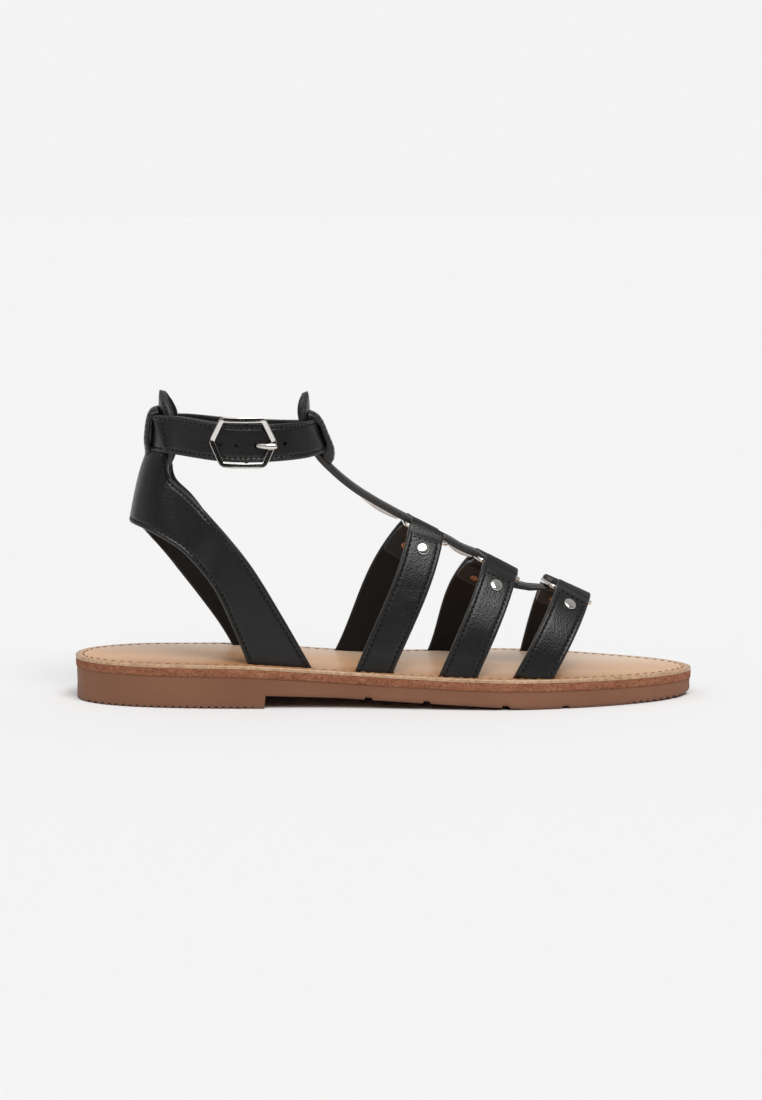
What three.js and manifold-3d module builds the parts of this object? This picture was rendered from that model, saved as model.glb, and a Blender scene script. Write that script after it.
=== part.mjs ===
// A flat gladiator sandal for the right foot: a moulded rubber unit, a leatherboard midsole and a
// slotted insole, with an instep strap, three cross straps held by metal rings, a heel sling and a
// buckled ankle strap. Millimetres: +X to the toe, +Y to the inner (medial) side, +Z up. Inside this
// file X is measured from a heel datum; the group is shifted at the end so that the origin is at the
// middle of the bounding box's bottom.

import * as THREE from "three";
import { mergeVertices } from "three/addons/utils/BufferGeometryUtils.js";
import Module from "manifold-3d";

const wasm = await Module();
wasm.setup();

const GAP = 0.3; // between two pieces that meet
const LATERAL = -1; // the side with the buckle
const MEDIAL = 1;

// ---- Driving dimensions of the sole ------------------------------------------------------------

const SOLE_BACK = -1;
const SOLE_FRONT = 251.7;
const TIP_Y = 6; // the toe's foremost point, towards the big toe
const INSOLE_THICK = 1.4;
const MIDSOLE_THICK = 3.2;
const OUTSOLE_INSET = 0.7; // the rubber's wall stands back from the midsole's edge
const OUTLINE_STEPS = 88;
const PRISM_HEIGHT = 24; // of the upright outline that the layers are cut from
const SLAB_WIDTH = 140; // of a side view drawn across the foot
const PROFILE_STEP = 7;

// Half widths of the insole along the foot.
const OUTLINE = [
  { x: 2, lateral: 11.2, medial: 11.3 },
  { x: 10, lateral: 19.6, medial: 20.0 },
  { x: 19, lateral: 24.3, medial: 24.8 },
  { x: 31, lateral: 27.8, medial: 27.9 },
  { x: 52, lateral: 30.4, medial: 29.1 },
  { x: 70, lateral: 31.0, medial: 29.0 },
  { x: 90, lateral: 30.6, medial: 28.0 },
  { x: 107, lateral: 30.7, medial: 27.9 },
  { x: 124, lateral: 32.0, medial: 31.2 },
  { x: 140, lateral: 33.5, medial: 36.6 },
  { x: 158, lateral: 34.8, medial: 43.4 },
  { x: 174, lateral: 34.9, medial: 47.4 },
  { x: 190, lateral: 32.7, medial: 46.6 },
  { x: 208, lateral: 27.8, medial: 40.4 },
  { x: 220, lateral: 23.1, medial: 35.2 },
  { x: 230, lateral: 18.2, medial: 30.6 },
  { x: 240, lateral: 11.4, medial: 24.6 },
  { x: 247.5, lateral: 3.6, medial: 17.0 },
];

// Height of the insole's top surface above the floor.
const FOOTBED = [
  { x: -1, z: 18.1 },
  { x: 31, z: 17.8 },
  { x: 67, z: 17.5 },
  { x: 86, z: 16.5 },
  { x: 107, z: 15.2 },
  { x: 139, z: 13.6 },
  { x: 173, z: 12.4 },
  { x: 208, z: 12.0 },
  { x: 230, z: 11.8 },
  { x: 251.7, z: 11.6 },
];

// Height of the outsole's underside: rounded back edge, heel, breast, arch, ball, toe spring.
const HEEL_BREAST_X = 77.5;
const UNDERSIDE = [
  { x: -2, z: 3.6 },
  { x: -0.4, z: 1.4 },
  { x: 2, z: 0 },
  { x: HEEL_BREAST_X, z: 0 },
  { x: HEEL_BREAST_X, z: 5.1 },
  { x: 92, z: 4.7 },
  { x: 107, z: 4.2 },
  { x: 124, z: 3.3 },
  { x: 139, z: 2.6 },
  { x: 157, z: 1.7 },
  { x: 173, z: 0.8 },
  { x: 185, z: 0 },
  { x: 234, z: 0 },
  { x: 243, z: 0.4 },
  { x: 252, z: 1.5 },
];

// Transverse grooves across the waist and the ball.
const GROOVE_X = [119, 142.3, 173.8, 197.9];
const GROOVE_WIDTH = 3.3;
const GROOVE_DEPTH = 0.9;

// ---- Driving dimensions of the rings and the cross straps --------------------------------------

const WIRE_RADIUS = 0.9;
const RING_LENGTH = 18.4; // along the instep, between wire centres
const RING_WIDTH = 17.2; // across the foot, between wire centres
const RING_CORNER = 1.3;

// Centres of the three rings, with their slope towards the toe and their turn towards the big toe.
const RINGS = [
  { name: "ring_1", x: 141.8, y: 1.5, z: 67.7, slope: 27, turn: 3 },
  { name: "ring_2", x: 170.8, y: 4.5, z: 53.1, slope: 28, turn: 7 },
  { name: "ring_3", x: 200.2, y: 8.0, z: 42.2, slope: 25, turn: 9 },
];

// Each half of a cross strap: the ring that it hangs on, where its slot is, how far its loop is slid
// along the ring, how much the strap bellies towards the toe, and how far its stud is from the loop.
const CROSS_HALVES = [
  { name: "stud_1_lateral", ring: 0, side: LATERAL, slotX: 121.2, slide: 0.0, belly: 0.08, stud: 11.7 },
  { name: "stud_1_medial", ring: 0, side: MEDIAL, slotX: 112.5, slide: -0.8, belly: -0.12, stud: 11.7 },
  { name: "stud_2_lateral", ring: 1, side: LATERAL, slotX: 154.8, slide: 0.8, belly: 0.03, stud: 14.5 },
  { name: "stud_2_medial", ring: 1, side: MEDIAL, slotX: 151.3, slide: -0.8, belly: -0.18, stud: 14.5 },
  { name: "stud_3_lateral", ring: 2, side: LATERAL, slotX: 184.9, slide: 0.8, belly: 0.0, stud: 13.5 },
  { name: "stud_3_medial", ring: 2, side: MEDIAL, slotX: 190.4, slide: -0.8, belly: 0.0, stud: 13.5 },
];
const STRAP_THICK = 2.2;
const STRAP_BASE_WIDTH = 14.9;
const STRAP_TOP_WIDTH = 13.8;
const STRAP_INSET = 4.6; // from the insole's edge to the middle of the strap's thickness
const STRAP_SUNK = 6; // how far under the footbed a strap is drawn before it is cut off
const CROSS_STEPS = 10;
const FOLD_LENGTH = 19; // of the end folded back inside and riveted
const FOLD_THICK = 1.5;
const LOOP_BORE = WIRE_RADIUS + 1.5 * GAP; // an octagon that clears the round wire
const LOOP_WALL = 2.2;
const BORE_SIDES = 8;
const LOOP_MEET_ANGLE = 28; // of the loop's top where the strap runs into it, from straight up
const POST_BORE_LENGTH = 12;

const STUD_HEAD_RADIUS = 2.4;
const STUD_HEAD_HEIGHT = 1.3;
const STUD_POST_RADIUS = 1.0;
const STUD_BACK_RADIUS = 1.9;
const STUD_BACK_HEIGHT = 0.6;

// ---- Driving dimensions of the instep strap ----------------------------------------------------

const INSTEP_THICK = 1.9;
const FRONT_FOLD_WALL = 1.4; // of its end, folded round the foremost ring's rear bar
const END_LAP = 5.5; // how far the end runs on under that ring, between the loops
const END_HALF = 6.2;

// Outer face of the instep strap, from the tip of its tab down to the foremost ring, with its half
// width and how far its edges are bowed inwards.
const INSTEP = [
  { x: 94.2, y: 0, z: 125.2, half: 2.0, bow: 0.2 },
  { x: 94.7, y: 0, z: 123.7, half: 5.4, bow: 1.4 },
  { x: 95.0, y: 0, z: 120.7, half: 7.6, bow: 2.6 },
  { x: 95.2, y: 0, z: 116.8, half: 8.2, bow: 3.0 },
  { x: 95.8, y: 0, z: 111.9, half: 7.6, bow: 2.4 },
  { x: 97.5, y: 0, z: 105.5, half: 6.4, bow: 1.4 },
  { x: 100.5, y: 0, z: 99.7, half: 5.8, bow: 0.8 },
  { x: 105.0, y: 0, z: 94.6, half: 5.6, bow: 0.4 },
  { x: 109.6, y: 0.1, z: 90.3, half: 5.6, bow: 0.2 },
  { x: 115.0, y: 0.2, z: 86.2, half: 5.6, bow: 0.2 },
  { x: 122.0, y: 0.4, z: 81.8, half: 5.6, bow: 0.2 },
  { x: 129.0, y: 0.8, z: 78.2, half: 5.6, bow: 0.2 },
  { x: 135.2, y: 1.1, z: 75.1, half: 5.6, bow: 0 },
  { x: 143.2, y: 1.6, z: 70.9, half: 5.6, bow: 0 },
  { x: 151.2, y: 2.2, z: 66.4, half: 5.6, bow: 0 },
  { x: 157.4, y: 2.9, z: 62.4, half: 5.6, bow: 0.2 },
  { x: 164.2, y: 3.8, z: 60.1, half: 5.6, bow: 0 },
  { x: 171.2, y: 4.6, z: 54.6, half: 5.6, bow: 0 },
  { x: 178.0, y: 5.4, z: 47.8, half: 5.6, bow: 0 },
  { x: 184.6, y: 6.2, z: 45.7, half: 5.6, bow: 0.2 },
];

// Outer face of the front keeper, which holds the ankle strap against the instep strap.
const KEEPER_THICK = 1.5;
const FRONT_KEEPER = [
  { x: 104.2, y: 0, z: 94.2, half: 5.6, bow: 0.4 },
  { x: 104.9, y: 0, z: 97.0, half: 5.6, bow: 0.5 },
  { x: 105.2, y: 0, z: 99.8, half: 5.6, bow: 0.6 },
  { x: 104.8, y: 0, z: 102.6, half: 5.6, bow: 0.6 },
  { x: 102.7, y: 0, z: 108.2, half: 5.6, bow: 0.6 },
  { x: 100.5, y: 0, z: 114.4, half: 5.6, bow: 0.7 },
  { x: 98.6, y: 0, z: 117.2, half: 5.6, bow: 0.9 },
  { x: 96.4, y: 0, z: 118.7, half: 5.6, bow: 1.2 },
  { x: 94.4, y: 0, z: 119.4, half: 5.6, bow: 1.4 },
];

// ---- Driving dimensions of the heel strap ------------------------------------------------------

const HEEL_THICK = 2.4;
const LEG_STEPS = 14;

// Lower and upper edges of the sling's outer leg, from the middle of the heel to the slot, and how far
// its middle stands out from the straight line between them.
const LATERAL_LEG = [
  { lowX: 21.2, lowY: 0, lowZ: 72.6, highX: 27.4, highY: 0, highZ: 94.2, bow: 1.1 },
  { lowX: 23.8, lowY: -10.5, lowZ: 72.2, highX: 31.4, highY: -10, highZ: 94.2, bow: 0.9 },
  { lowX: 32.3, lowY: -19.0, lowZ: 69.6, highX: 40.6, highY: -15.4, highZ: 91.9, bow: 0.4 },
  { lowX: 44.9, lowY: -24.0, lowZ: 62.2, highX: 53.8, highY: -22.5, highZ: 78.6, bow: 0.1 },
  { lowX: 57.0, lowY: -25.6, lowZ: 47.9, highX: 71.0, highY: -25.3, highZ: 58.4, bow: 0 },
  { lowX: 65.9, lowY: -26.2, lowZ: 28.8, highX: 85.0, highY: -26.3, highZ: 35.7, bow: 0 },
  { lowX: 71.0, lowY: -26.2, lowZ: 16.2, highX: 96.2, highY: -26.2, highZ: 15.8, bow: 0 },
];

// The same for the inner leg, which is set further back.
const MEDIAL_LEG = [
  { lowX: 21.2, lowY: 0, lowZ: 72.6, highX: 27.4, highY: 0, highZ: 94.2, bow: 1.1 },
  { lowX: 23.6, lowY: 10.0, lowZ: 70.3, highX: 31.4, highY: 10, highZ: 94.2, bow: 0.9 },
  { lowX: 29.7, lowY: 17.8, lowZ: 62.5, highX: 39.8, highY: 15.6, highZ: 88.0, bow: 0.4 },
  { lowX: 38.6, lowY: 22.8, lowZ: 50.9, highX: 52.6, highY: 22.3, highZ: 71.5, bow: 0.1 },
  { lowX: 48.4, lowY: 24.8, lowZ: 37.9, highX: 66.5, highY: 24.8, highZ: 50, bow: 0 },
  { lowX: 56.6, lowY: 25.0, lowZ: 26.5, highX: 77.5, highY: 24.8, highZ: 33, bow: 0 },
  { lowX: 62.6, lowY: 24.8, lowZ: 16.5, highX: 86.8, highY: 24.0, highZ: 16.1, bow: 0 },
];

// Outer face of the back strip, from inside the sling up to the tip of its tab.
const BACK_STRIP = [
  { x: 25.9, y: 0, z: 87.0, half: 10.5, bow: 5.0 },
  { x: 27.6, y: 0, z: 94.0, half: 13.2, bow: 10.4 },
  { x: 30.6, y: 0, z: 98.4, half: 13.0, bow: 7.7 },
  { x: 32.9, y: 0, z: 101.2, half: 12.6, bow: 5.6 },
  { x: 33.4, y: 0, z: 107.3, half: 12.2, bow: 5.4 },
  { x: 33.6, y: 0, z: 112.3, half: 11.8, bow: 5.3 },
  { x: 33.7, y: 0, z: 116.6, half: 11.2, bow: 5.2 },
  { x: 33.8, y: 0, z: 119.8, half: 9.6, bow: 3.9 },
  { x: 33.9, y: 0, z: 122.7, half: 7.2, bow: 2.2 },
  { x: 34.1, y: 0, z: 124.7, half: 4.6, bow: 0.9 },
  { x: 34.3, y: 0, z: 125.7, half: 1.8, bow: 0.2 },
];

// Outer face of the back keeper.
const BACK_KEEPER = [
  { x: 27.6, y: 0, z: 93.6, half: 8, bow: 2.4 },
  { x: 27.9, y: 0, z: 97.4, half: 8, bow: 2.1 },
  { x: 28.1, y: 0, z: 101.2, half: 8, bow: 1.7 },
  { x: 27.7, y: 0, z: 105.4, half: 8, bow: 1.4 },
  { x: 28.0, y: 0, z: 109.6, half: 8, bow: 1.3 },
  { x: 28.6, y: 0, z: 113.6, half: 8, bow: 1.3 },
  { x: 29.5, y: 0, z: 116.6, half: 8, bow: 1.4 },
  { x: 30.9, y: 0, z: 118.5, half: 7.8, bow: 1.8 },
  { x: 33.4, y: 0, z: 119.5, half: 7.4, bow: 2.2 },
];

// ---- Driving dimensions of the ankle strap and its buckle --------------------------------------

const ANKLE_THICK = 2.2;
const ANKLE = { x: 65.6, halfLength: 34.8, halfWidth: 29 }; // its outer face in plan
const ANKLE_LAP = ANKLE_THICK + GAP; // the buckle end lies this much deeper than the free end
const ANKLE_START = 279; // degrees round the loop, at the buckle's bar
const ANKLE_LAP_ENDS = 226; // from here the buckle end comes out to the full loop
const ANKLE_LAP_OUT = 210;
const ANKLE_END = -147.5; // the tip of the free end, a turn later
const TIP_SLANT = 0.21; // of the tip, whose upper corner is further on
const ANKLE_STEP = 7.5;

// Height of the loop's middle, its lean inwards and its half width, round the loop: 0 is the front,
// 90 the medial side, 180 the back and 270 the lateral side.
const ANKLE_RISE = [
  { turn: 0, z: 108.2, lean: 21, half: 6.9 },
  { turn: 45, z: 105.3, lean: 12, half: 7.2 },
  { turn: 90, z: 104.8, lean: 5, half: 7.5 },
  { turn: 135, z: 107.4, lean: 5, half: 7.5 },
  { turn: 180, z: 108.2, lean: 3, half: 6.9 },
  { turn: 225, z: 109.0, lean: 5, half: 7.6 },
  { turn: 270, z: 106.5, lean: 4, half: 7.6 },
  { turn: 315, z: 106.8, lean: 12, half: 7.4 },
];
const HOLE_DROP = 0.8; // of the holes below the strap's middle

const HOLE_X = [60.4, 66.7, 79.4, 85.7];
const HOLE_RADIUS = 0.8;

const BUCKLE_X = 69.2;
const BUCKLE_HALF_LENGTH = 12.0; // to the apexes
const BUCKLE_HALF_SIDE = 8.0; // half of the straight top and bottom
const BUCKLE_HALF_HEIGHT = 9.0;
const BUCKLE_WIRE = 0.9;
const BUCKLE_LIFT = BUCKLE_WIRE + 0.5; // wire centre above the strap's outer face
const BAR_OFFSET = 1.8; // of the centre bar from the buckle's middle, towards the toe
const BAR_EYE_WALL = 1.2;
const BAR_EYE = BUCKLE_WIRE + GAP + BAR_EYE_WALL;
const BAR_DEPTH = ANKLE_LAP + BAR_EYE; // below the free end's outer face
const PRONG_RADIUS = 0.8;
const PRONG_EYE_RADIUS = 2.0;
const PRONG_EYE_TUBE = 0.75;
const PRONG_SLOT = 3; // height of the slot that the prong comes through
const EYE_LENGTH = 13; // of the strap's end round the bar

// The prong's centre line: distance from the buckle's middle, and height up and over the strap.
const PRONG = [
  { along: 1.8, high: -1.0, over: -2.9 },
  { along: 3.2, high: -1.0, over: -2.1 },
  { along: 4.5, high: -1.0, over: -0.5 },
  { along: 5.6, high: -1.1, over: 0.8 },
  { along: 7.2, high: -1.3, over: 2.0 },
  { along: 9.2, high: -1.5, over: 2.9 },
  { along: 12.4, high: -1.8, over: 3.5 },
];

// ---- Materials -----------------------------------------------------------------------------------

const finish = (color, roughness, metalness) =>
  new THREE.MeshStandardMaterial({ color, roughness, metalness });
const BLACK_LEATHER = finish(0x1b1a19, 0.5, 0);
const TAN_LEATHER = finish(0xcfa173, 0.5, 0);
const LEATHERBOARD = finish(0x9a5a45, 0.85, 0);
const BROWN_RUBBER = finish(0x7f5744, 0.7, 0);
const SILVER_METAL = finish(0xc9c7c4, 0.22, 1);

// ---- Small helpers -------------------------------------------------------------------------------

const radians = THREE.MathUtils.degToRad;
const vector = (x, y, z) => new THREE.Vector3(x, y, z);

// A smooth curve through a table's rows: the value of one column at x, by cubic pieces whose slopes
// come from the neighbouring rows.
function smooth(rows, key, column, x) {
  const last = rows.length - 1;
  let i = 0;
  while (i < last - 1 && x > rows[i + 1][key]) i++;
  const slope = (k) => {
    const a = rows[Math.max(k - 1, 0)];
    const b = rows[Math.min(k + 1, last)];
    return (b[column] - a[column]) / (b[key] - a[key]);
  };
  const span = rows[i + 1][key] - rows[i][key];
  const t = (x - rows[i][key]) / span;
  const fromStart = rows[i][column] * (1 + 2 * t) * (1 - t) ** 2;
  const fromEnd = rows[i + 1][column] * t ** 2 * (3 - 2 * t);
  const slopes = span * t * (1 - t) * (slope(i) * (1 - t) - slope(i + 1) * t);
  return fromStart + fromEnd + slopes;
}

// A closed three.js geometry as a solid that can be cut and joined, its faces turned to point out.
function solid(geometry) {
  const bare = geometry.clone();
  bare.deleteAttribute("normal");
  bare.deleteAttribute("uv");
  const merged = mergeVertices(bare, 1e-4);
  const vertProperties = new Float32Array(merged.attributes.position.array);
  const triVerts = new Uint32Array(merged.index.array);
  const made = new wasm.Manifold(new wasm.Mesh({ numProp: 3, vertProperties, triVerts }));
  if (made.volume() > 0) return made;
  for (let i = 0; i < triVerts.length; i += 3) {
    const first = triVerts[i];
    triVerts[i] = triVerts[i + 1];
    triVerts[i + 1] = first;
  }
  return new wasm.Manifold(new wasm.Mesh({ numProp: 3, vertProperties, triVerts }));
}

const joined = (solids) => solids.reduce((whole, piece) => whole.add(piece));

function geometryOf(body) {
  const { vertProperties, triVerts } = body.getMesh();
  const geometry = new THREE.BufferGeometry();
  geometry.setAttribute("position", new THREE.BufferAttribute(vertProperties, 3));
  geometry.setIndex(new THREE.BufferAttribute(triVerts, 1));
  geometry.computeVertexNormals();
  return geometry;
}

// A solid through rings of equally many points. Open lofts are closed by strips across the two end
// rings, from each point to its opposite number.
function loft(rings, closed = false) {
  const count = rings[0].length;
  const positions = rings.flat().flatMap((p) => [p.x, p.y, p.z]);
  const triangles = [];
  const quad = (a, b, c, d) => triangles.push(a, b, c, a, c, d);
  const spans = closed ? rings.length : rings.length - 1;
  for (let i = 0; i < spans; i++) {
    const near = i * count;
    const far = ((i + 1) % rings.length) * count;
    for (let j = 0; j < count; j++) {
      const next = (j + 1) % count;
      quad(near + j, near + next, far + next, far + j);
    }
  }
  const end = (rings.length - 1) * count;
  for (let j = 0; j < count / 2 - 1 && !closed; j++) {
    quad(count - 1 - j, count - 2 - j, j + 1, j);
    quad(end + j, end + j + 1, end + count - 2 - j, end + count - 1 - j);
  }
  const geometry = new THREE.BufferGeometry();
  geometry.setAttribute("position", new THREE.Float32BufferAttribute(positions, 3));
  geometry.setIndex(triangles);
  return solid(geometry);
}

// A strap from its stations. Each has its middle point, its unit directions across and out, its half
// width, the bow of its edges away from the outer side, and its thickness on both sides of the middle.
// The section is an arc of so many columns.
const FLATTEST = 1e-3;
function ribbon(stations, columns = 3) {
  const rings = stations.map(({ at, across, out, half, bow = 0, outer, inner }) => {
    const bend = 2 * Math.atan(Math.max(bow, FLATTEST) / half);
    const radius = half / Math.sin(bend);
    const face = (column, thick) => {
      const turn = bend * ((2 * column) / (columns - 1) - 1);
      const from = at.clone().addScaledVector(out, -radius);
      const reach = radius + thick;
      return from
        .addScaledVector(out, reach * Math.cos(turn))
        .addScaledVector(across, reach * Math.sin(turn));
    };
    const order = Array.from({ length: columns }, (_, column) => column);
    const front = order.map((column) => face(column, outer));
    const back = order.map((column) => face(column, -inner));
    return [...front, ...back.reverse()];
  });
  return loft(rings);
}

// A round wire along points. The binormal is a direction square to the wire's plane.
function wire(points, radius, binormal, closed, sides = 8) {
  const last = points.length - 1;
  const rings = points.map((point, i) => {
    const before = points[i === 0 ? (closed ? last : 0) : i - 1];
    const after = points[i === last ? (closed ? 0 : last) : i + 1];
    const into = point.clone().sub(before);
    const away = after.clone().sub(point);
    if (into.lengthSq() === 0) into.copy(away);
    if (away.lengthSq() === 0) away.copy(into);
    const tangent = into.clone().normalize().add(away.normalize()).normalize();
    const mitre = binormal.clone().cross(tangent).normalize();
    const square = binormal.clone().cross(into.normalize()).normalize();
    const stretch = 1 / mitre.dot(square);
    return Array.from({ length: sides }, (_, j) => {
      const angle = (2 * Math.PI * j) / sides;
      return point
        .clone()
        .addScaledVector(binormal, radius * Math.cos(angle))
        .addScaledVector(mitre, radius * stretch * Math.sin(angle));
    });
  });
  return loft(rings, closed);
}

// Turns and moves a geometry so that its own Z lies along an axis and its origin at a point.
function placed(geometry, at, axis) {
  const turn = new THREE.Quaternion().setFromUnitVectors(vector(0, 0, 1), axis.clone().normalize());
  return geometry.applyQuaternion(turn).translate(at.x, at.y, at.z);
}

function rod(at, axis, radius, length, sides = 14) {
  const cylinder = new THREE.CylinderGeometry(radius, radius, length, sides);
  return solid(placed(cylinder.rotateX(Math.PI / 2), at, axis));
}

// ---- Sole ----------------------------------------------------------------------------------------

const outlineCurve = (() => {
  const lateral = OUTLINE.map((row) => vector(row.x, -row.lateral, 0));
  const medial = OUTLINE.map((row) => vector(row.x, row.medial, 0)).reverse();
  const back = vector(SOLE_BACK, 0, 0);
  const points = [back, ...lateral, vector(SOLE_FRONT, TIP_Y, 0), ...medial];
  return new THREE.CatmullRomCurve3(points, true, "centripetal");
})();
const outlinePoints = outlineCurve.getSpacedPoints(OUTLINE_STEPS).slice(0, OUTLINE_STEPS);

// Y of the sole's edge on one side at x.
function edgeY(x, side) {
  const column = side === LATERAL ? "lateral" : "medial";
  return side * smooth(OUTLINE, "x", column, x);
}

const footbedZ = (x) => smooth(FOOTBED, "x", "z", x);

// The sole's outline, moved inwards, as an upright prism from the floor to above the footbed.
function outlinePrism(inset) {
  const count = outlinePoints.length;
  const points = outlinePoints.map((point, i) => {
    const before = outlinePoints[(i + count - 1) % count];
    const after = outlinePoints[(i + 1) % count];
    const along = after.clone().sub(before).normalize();
    return new THREE.Vector2(point.x - along.y * inset, point.y + along.x * inset);
  });
  const geometry = new THREE.ExtrudeGeometry(new THREE.Shape(points), {
    depth: PRISM_HEIGHT,
    bevelEnabled: false,
  });
  return solid(geometry.translate(0, 0, -1));
}

// A side view drawn in X and Z, as a slab that is wider than the foot.
function sideSlab(points) {
  const shape = new THREE.Shape(points.map(({ x, z }) => new THREE.Vector2(x, z)));
  const geometry = new THREE.ExtrudeGeometry(shape, { depth: SLAB_WIDTH, bevelEnabled: false });
  return solid(geometry.rotateX(Math.PI / 2).translate(0, SLAB_WIDTH / 2, 0));
}

// The line at a depth under the footbed, from beyond the toe back to beyond the heel.
function footbedLine(depth) {
  const line = [];
  for (let x = SOLE_FRONT + PROFILE_STEP; x > SOLE_BACK - PROFILE_STEP; x -= PROFILE_STEP) {
    const inside = THREE.MathUtils.clamp(x, SOLE_BACK, SOLE_FRONT);
    line.push({ x, z: footbedZ(inside) - depth });
  }
  return line;
}

function layer(topDepth, bottomDepth, inset) {
  const side = [...footbedLine(topDepth), ...footbedLine(bottomDepth).reverse()];
  return outlinePrism(inset).intersect(sideSlab(side));
}

function makeOutsole() {
  const topDepth = INSOLE_THICK + MIDSOLE_THICK + 2 * GAP;
  const first = UNDERSIDE[0];
  const last = UNDERSIDE[UNDERSIDE.length - 1];
  const side = [
    ...footbedLine(topDepth),
    { x: first.x - PROFILE_STEP, z: first.z },
    ...UNDERSIDE,
    { x: last.x + PROFILE_STEP, z: last.z },
  ];
  const body = outlinePrism(OUTSOLE_INSET).intersect(sideSlab(side));
  return GROOVE_X.reduce((cut, x) => cut.subtract(groove(x)), body);
}

// A straight groove across the underside, slanting with it.
function groove(x) {
  const under = UNDERSIDE.findIndex((row) => row.x > x);
  const before = UNDERSIDE[under - 1];
  const after = UNDERSIDE[under];
  const zAt = (at) => before.z + ((after.z - before.z) * (at - before.x)) / (after.x - before.x);
  const half = GROOVE_WIDTH / 2;
  const slant = GROOVE_DEPTH / 2;
  return sideSlab([
    { x: x - half, z: zAt(x - half) - 1 },
    { x: x + half, z: zAt(x + half) - 1 },
    { x: x + half, z: zAt(x + half) },
    { x: x + half - slant, z: zAt(x + half - slant) + GROOVE_DEPTH },
    { x: x - half + slant, z: zAt(x - half + slant) + GROOVE_DEPTH },
    { x: x - half, z: zAt(x - half) },
  ]);
}

// Everything below the insole's underside, where the strap ends are cut off.
function belowInsole() {
  const first = { x: SOLE_BACK - PROFILE_STEP, z: -1 };
  const last = { x: SOLE_FRONT + PROFILE_STEP, z: -1 };
  return sideSlab([...footbedLine(INSOLE_THICK), first, last]);
}

const makeMidsole = () => layer(INSOLE_THICK + GAP, INSOLE_THICK + GAP + MIDSOLE_THICK, 0);

function makeInsole() {
  const slots = [...CROSS_HALVES.map((half) => crossStrap(half, GAP)), heelSling(GAP)];
  return slots.reduce((cut, slot) => cut.subtract(slot), layer(0, INSOLE_THICK, 0));
}

// ---- Rings ---------------------------------------------------------------------------------------

// Directions and points of a ring: along the instep, across the foot, and out of the foot.
function ringFrame(ring) {
  const slope = radians(ring.slope);
  const turn = radians(ring.turn);
  const along = vector(
    Math.cos(slope) * Math.cos(turn),
    Math.cos(slope) * Math.sin(turn),
    -Math.sin(slope),
  );
  const across = vector(-Math.sin(turn), Math.cos(turn), 0);
  const out = along.clone().cross(across);
  const centre = vector(ring.x, ring.y, ring.z);
  const point = (u, v, w = 0) =>
    centre.clone().addScaledVector(along, u).addScaledVector(across, v).addScaledVector(out, w);
  return { along, across, out, point };
}

// The four rounded corners of a ring, as points of its wire.
function ringPoints(ring) {
  const { point } = ringFrame(ring);
  const corners = [
    { u: 1, v: 1, start: 0 },
    { u: -1, v: 1, start: 90 },
    { u: -1, v: -1, start: 180 },
    { u: 1, v: -1, start: 270 },
  ];
  const bends = [0, 22.5, 45, 67.5, 90];
  return corners.flatMap(({ u, v, start }) =>
    bends.map((bend) => {
      const angle = radians(start + bend);
      return point(
        u * (RING_LENGTH / 2 - RING_CORNER) + RING_CORNER * Math.cos(angle),
        v * (RING_WIDTH / 2 - RING_CORNER) + RING_CORNER * Math.sin(angle),
      );
    }),
  );
}

const makeRing = (ring) => wire(ringPoints(ring), WIRE_RADIUS, ringFrame(ring).out, true);

// ---- Upper ---------------------------------------------------------------------------------------

// Stations of half a cross strap, from its slot up an elliptical arch to the ring's side bar.
function crossStations(half) {
  const ring = RINGS[half.ring];
  const { along, point } = ringFrame(ring);
  const bar = point(half.slide, (half.side * RING_WIDTH) / 2);
  const meet = radians(LOOP_MEET_ANGLE);
  const reach = LOOP_BORE + LOOP_WALL / 2;
  const top = bar.clone().add(vector(0, half.side * reach * Math.sin(meet), reach * Math.cos(meet)));
  const foot = vector(
    half.slotX,
    edgeY(half.slotX, half.side) - half.side * STRAP_INSET,
    footbedZ(half.slotX),
  );
  const spread = Math.abs(foot.y - ring.y);
  const topAngle = Math.acos(Math.abs(top.y - ring.y) / spread);
  const rise = (top.z - foot.z) / Math.sin(topAngle);
  const centres = Array.from({ length: CROSS_STEPS + 1 }, (_, i) => {
    const angle = (topAngle * i) / CROSS_STEPS;
    const up = Math.sin(angle) / Math.sin(topAngle);
    const lean = up + half.belly * Math.sin(Math.PI * up ** 1.5);
    return vector(
      foot.x + (top.x - foot.x) * lean,
      ring.y + half.side * spread * Math.cos(angle),
      foot.z + rise * Math.sin(angle),
    );
  });
  const leanBase = Math.atan2(top.x - foot.x, top.z - foot.z);
  const baseAcross = vector(Math.cos(leanBase), 0, -Math.sin(leanBase));
  return centres.map((at, i) => {
    const t = i / CROSS_STEPS;
    const tangent = centres[Math.min(i + 1, CROSS_STEPS)].clone().sub(centres[Math.max(i - 1, 0)]);
    tangent.normalize();
    const across = baseAcross.clone().lerp(along, t * t);
    across.addScaledVector(tangent, -across.dot(tangent)).normalize();
    const out = across.clone().cross(tangent).multiplyScalar(-half.side).normalize();
    const width = STRAP_BASE_WIDTH + (STRAP_TOP_WIDTH - STRAP_BASE_WIDTH) * t;
    return { at, across, out, half: width / 2, toTop: at.distanceTo(centres[CROSS_STEPS]) };
  });
}

// Half a cross strap, thicker where its end is folded back inside. Grown, it is the cutter of its slot.
function crossStrap(half, grown = 0) {
  const stations = crossStations(half).map((station) => {
    const outer = STRAP_THICK / 2 + grown;
    const folded = station.toTop < FOLD_LENGTH;
    const inner = outer + (folded ? FOLD_THICK : 0);
    return { ...station, half: station.half + grown, outer, inner };
  });
  return ribbon([sunk(stations[0]), ...stations]);
}

// A strap's first station, moved straight down through the insole.
const sunk = (station) => ({ ...station, at: station.at.clone().add(vector(0, 0, -STRAP_SUNK)) });

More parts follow.
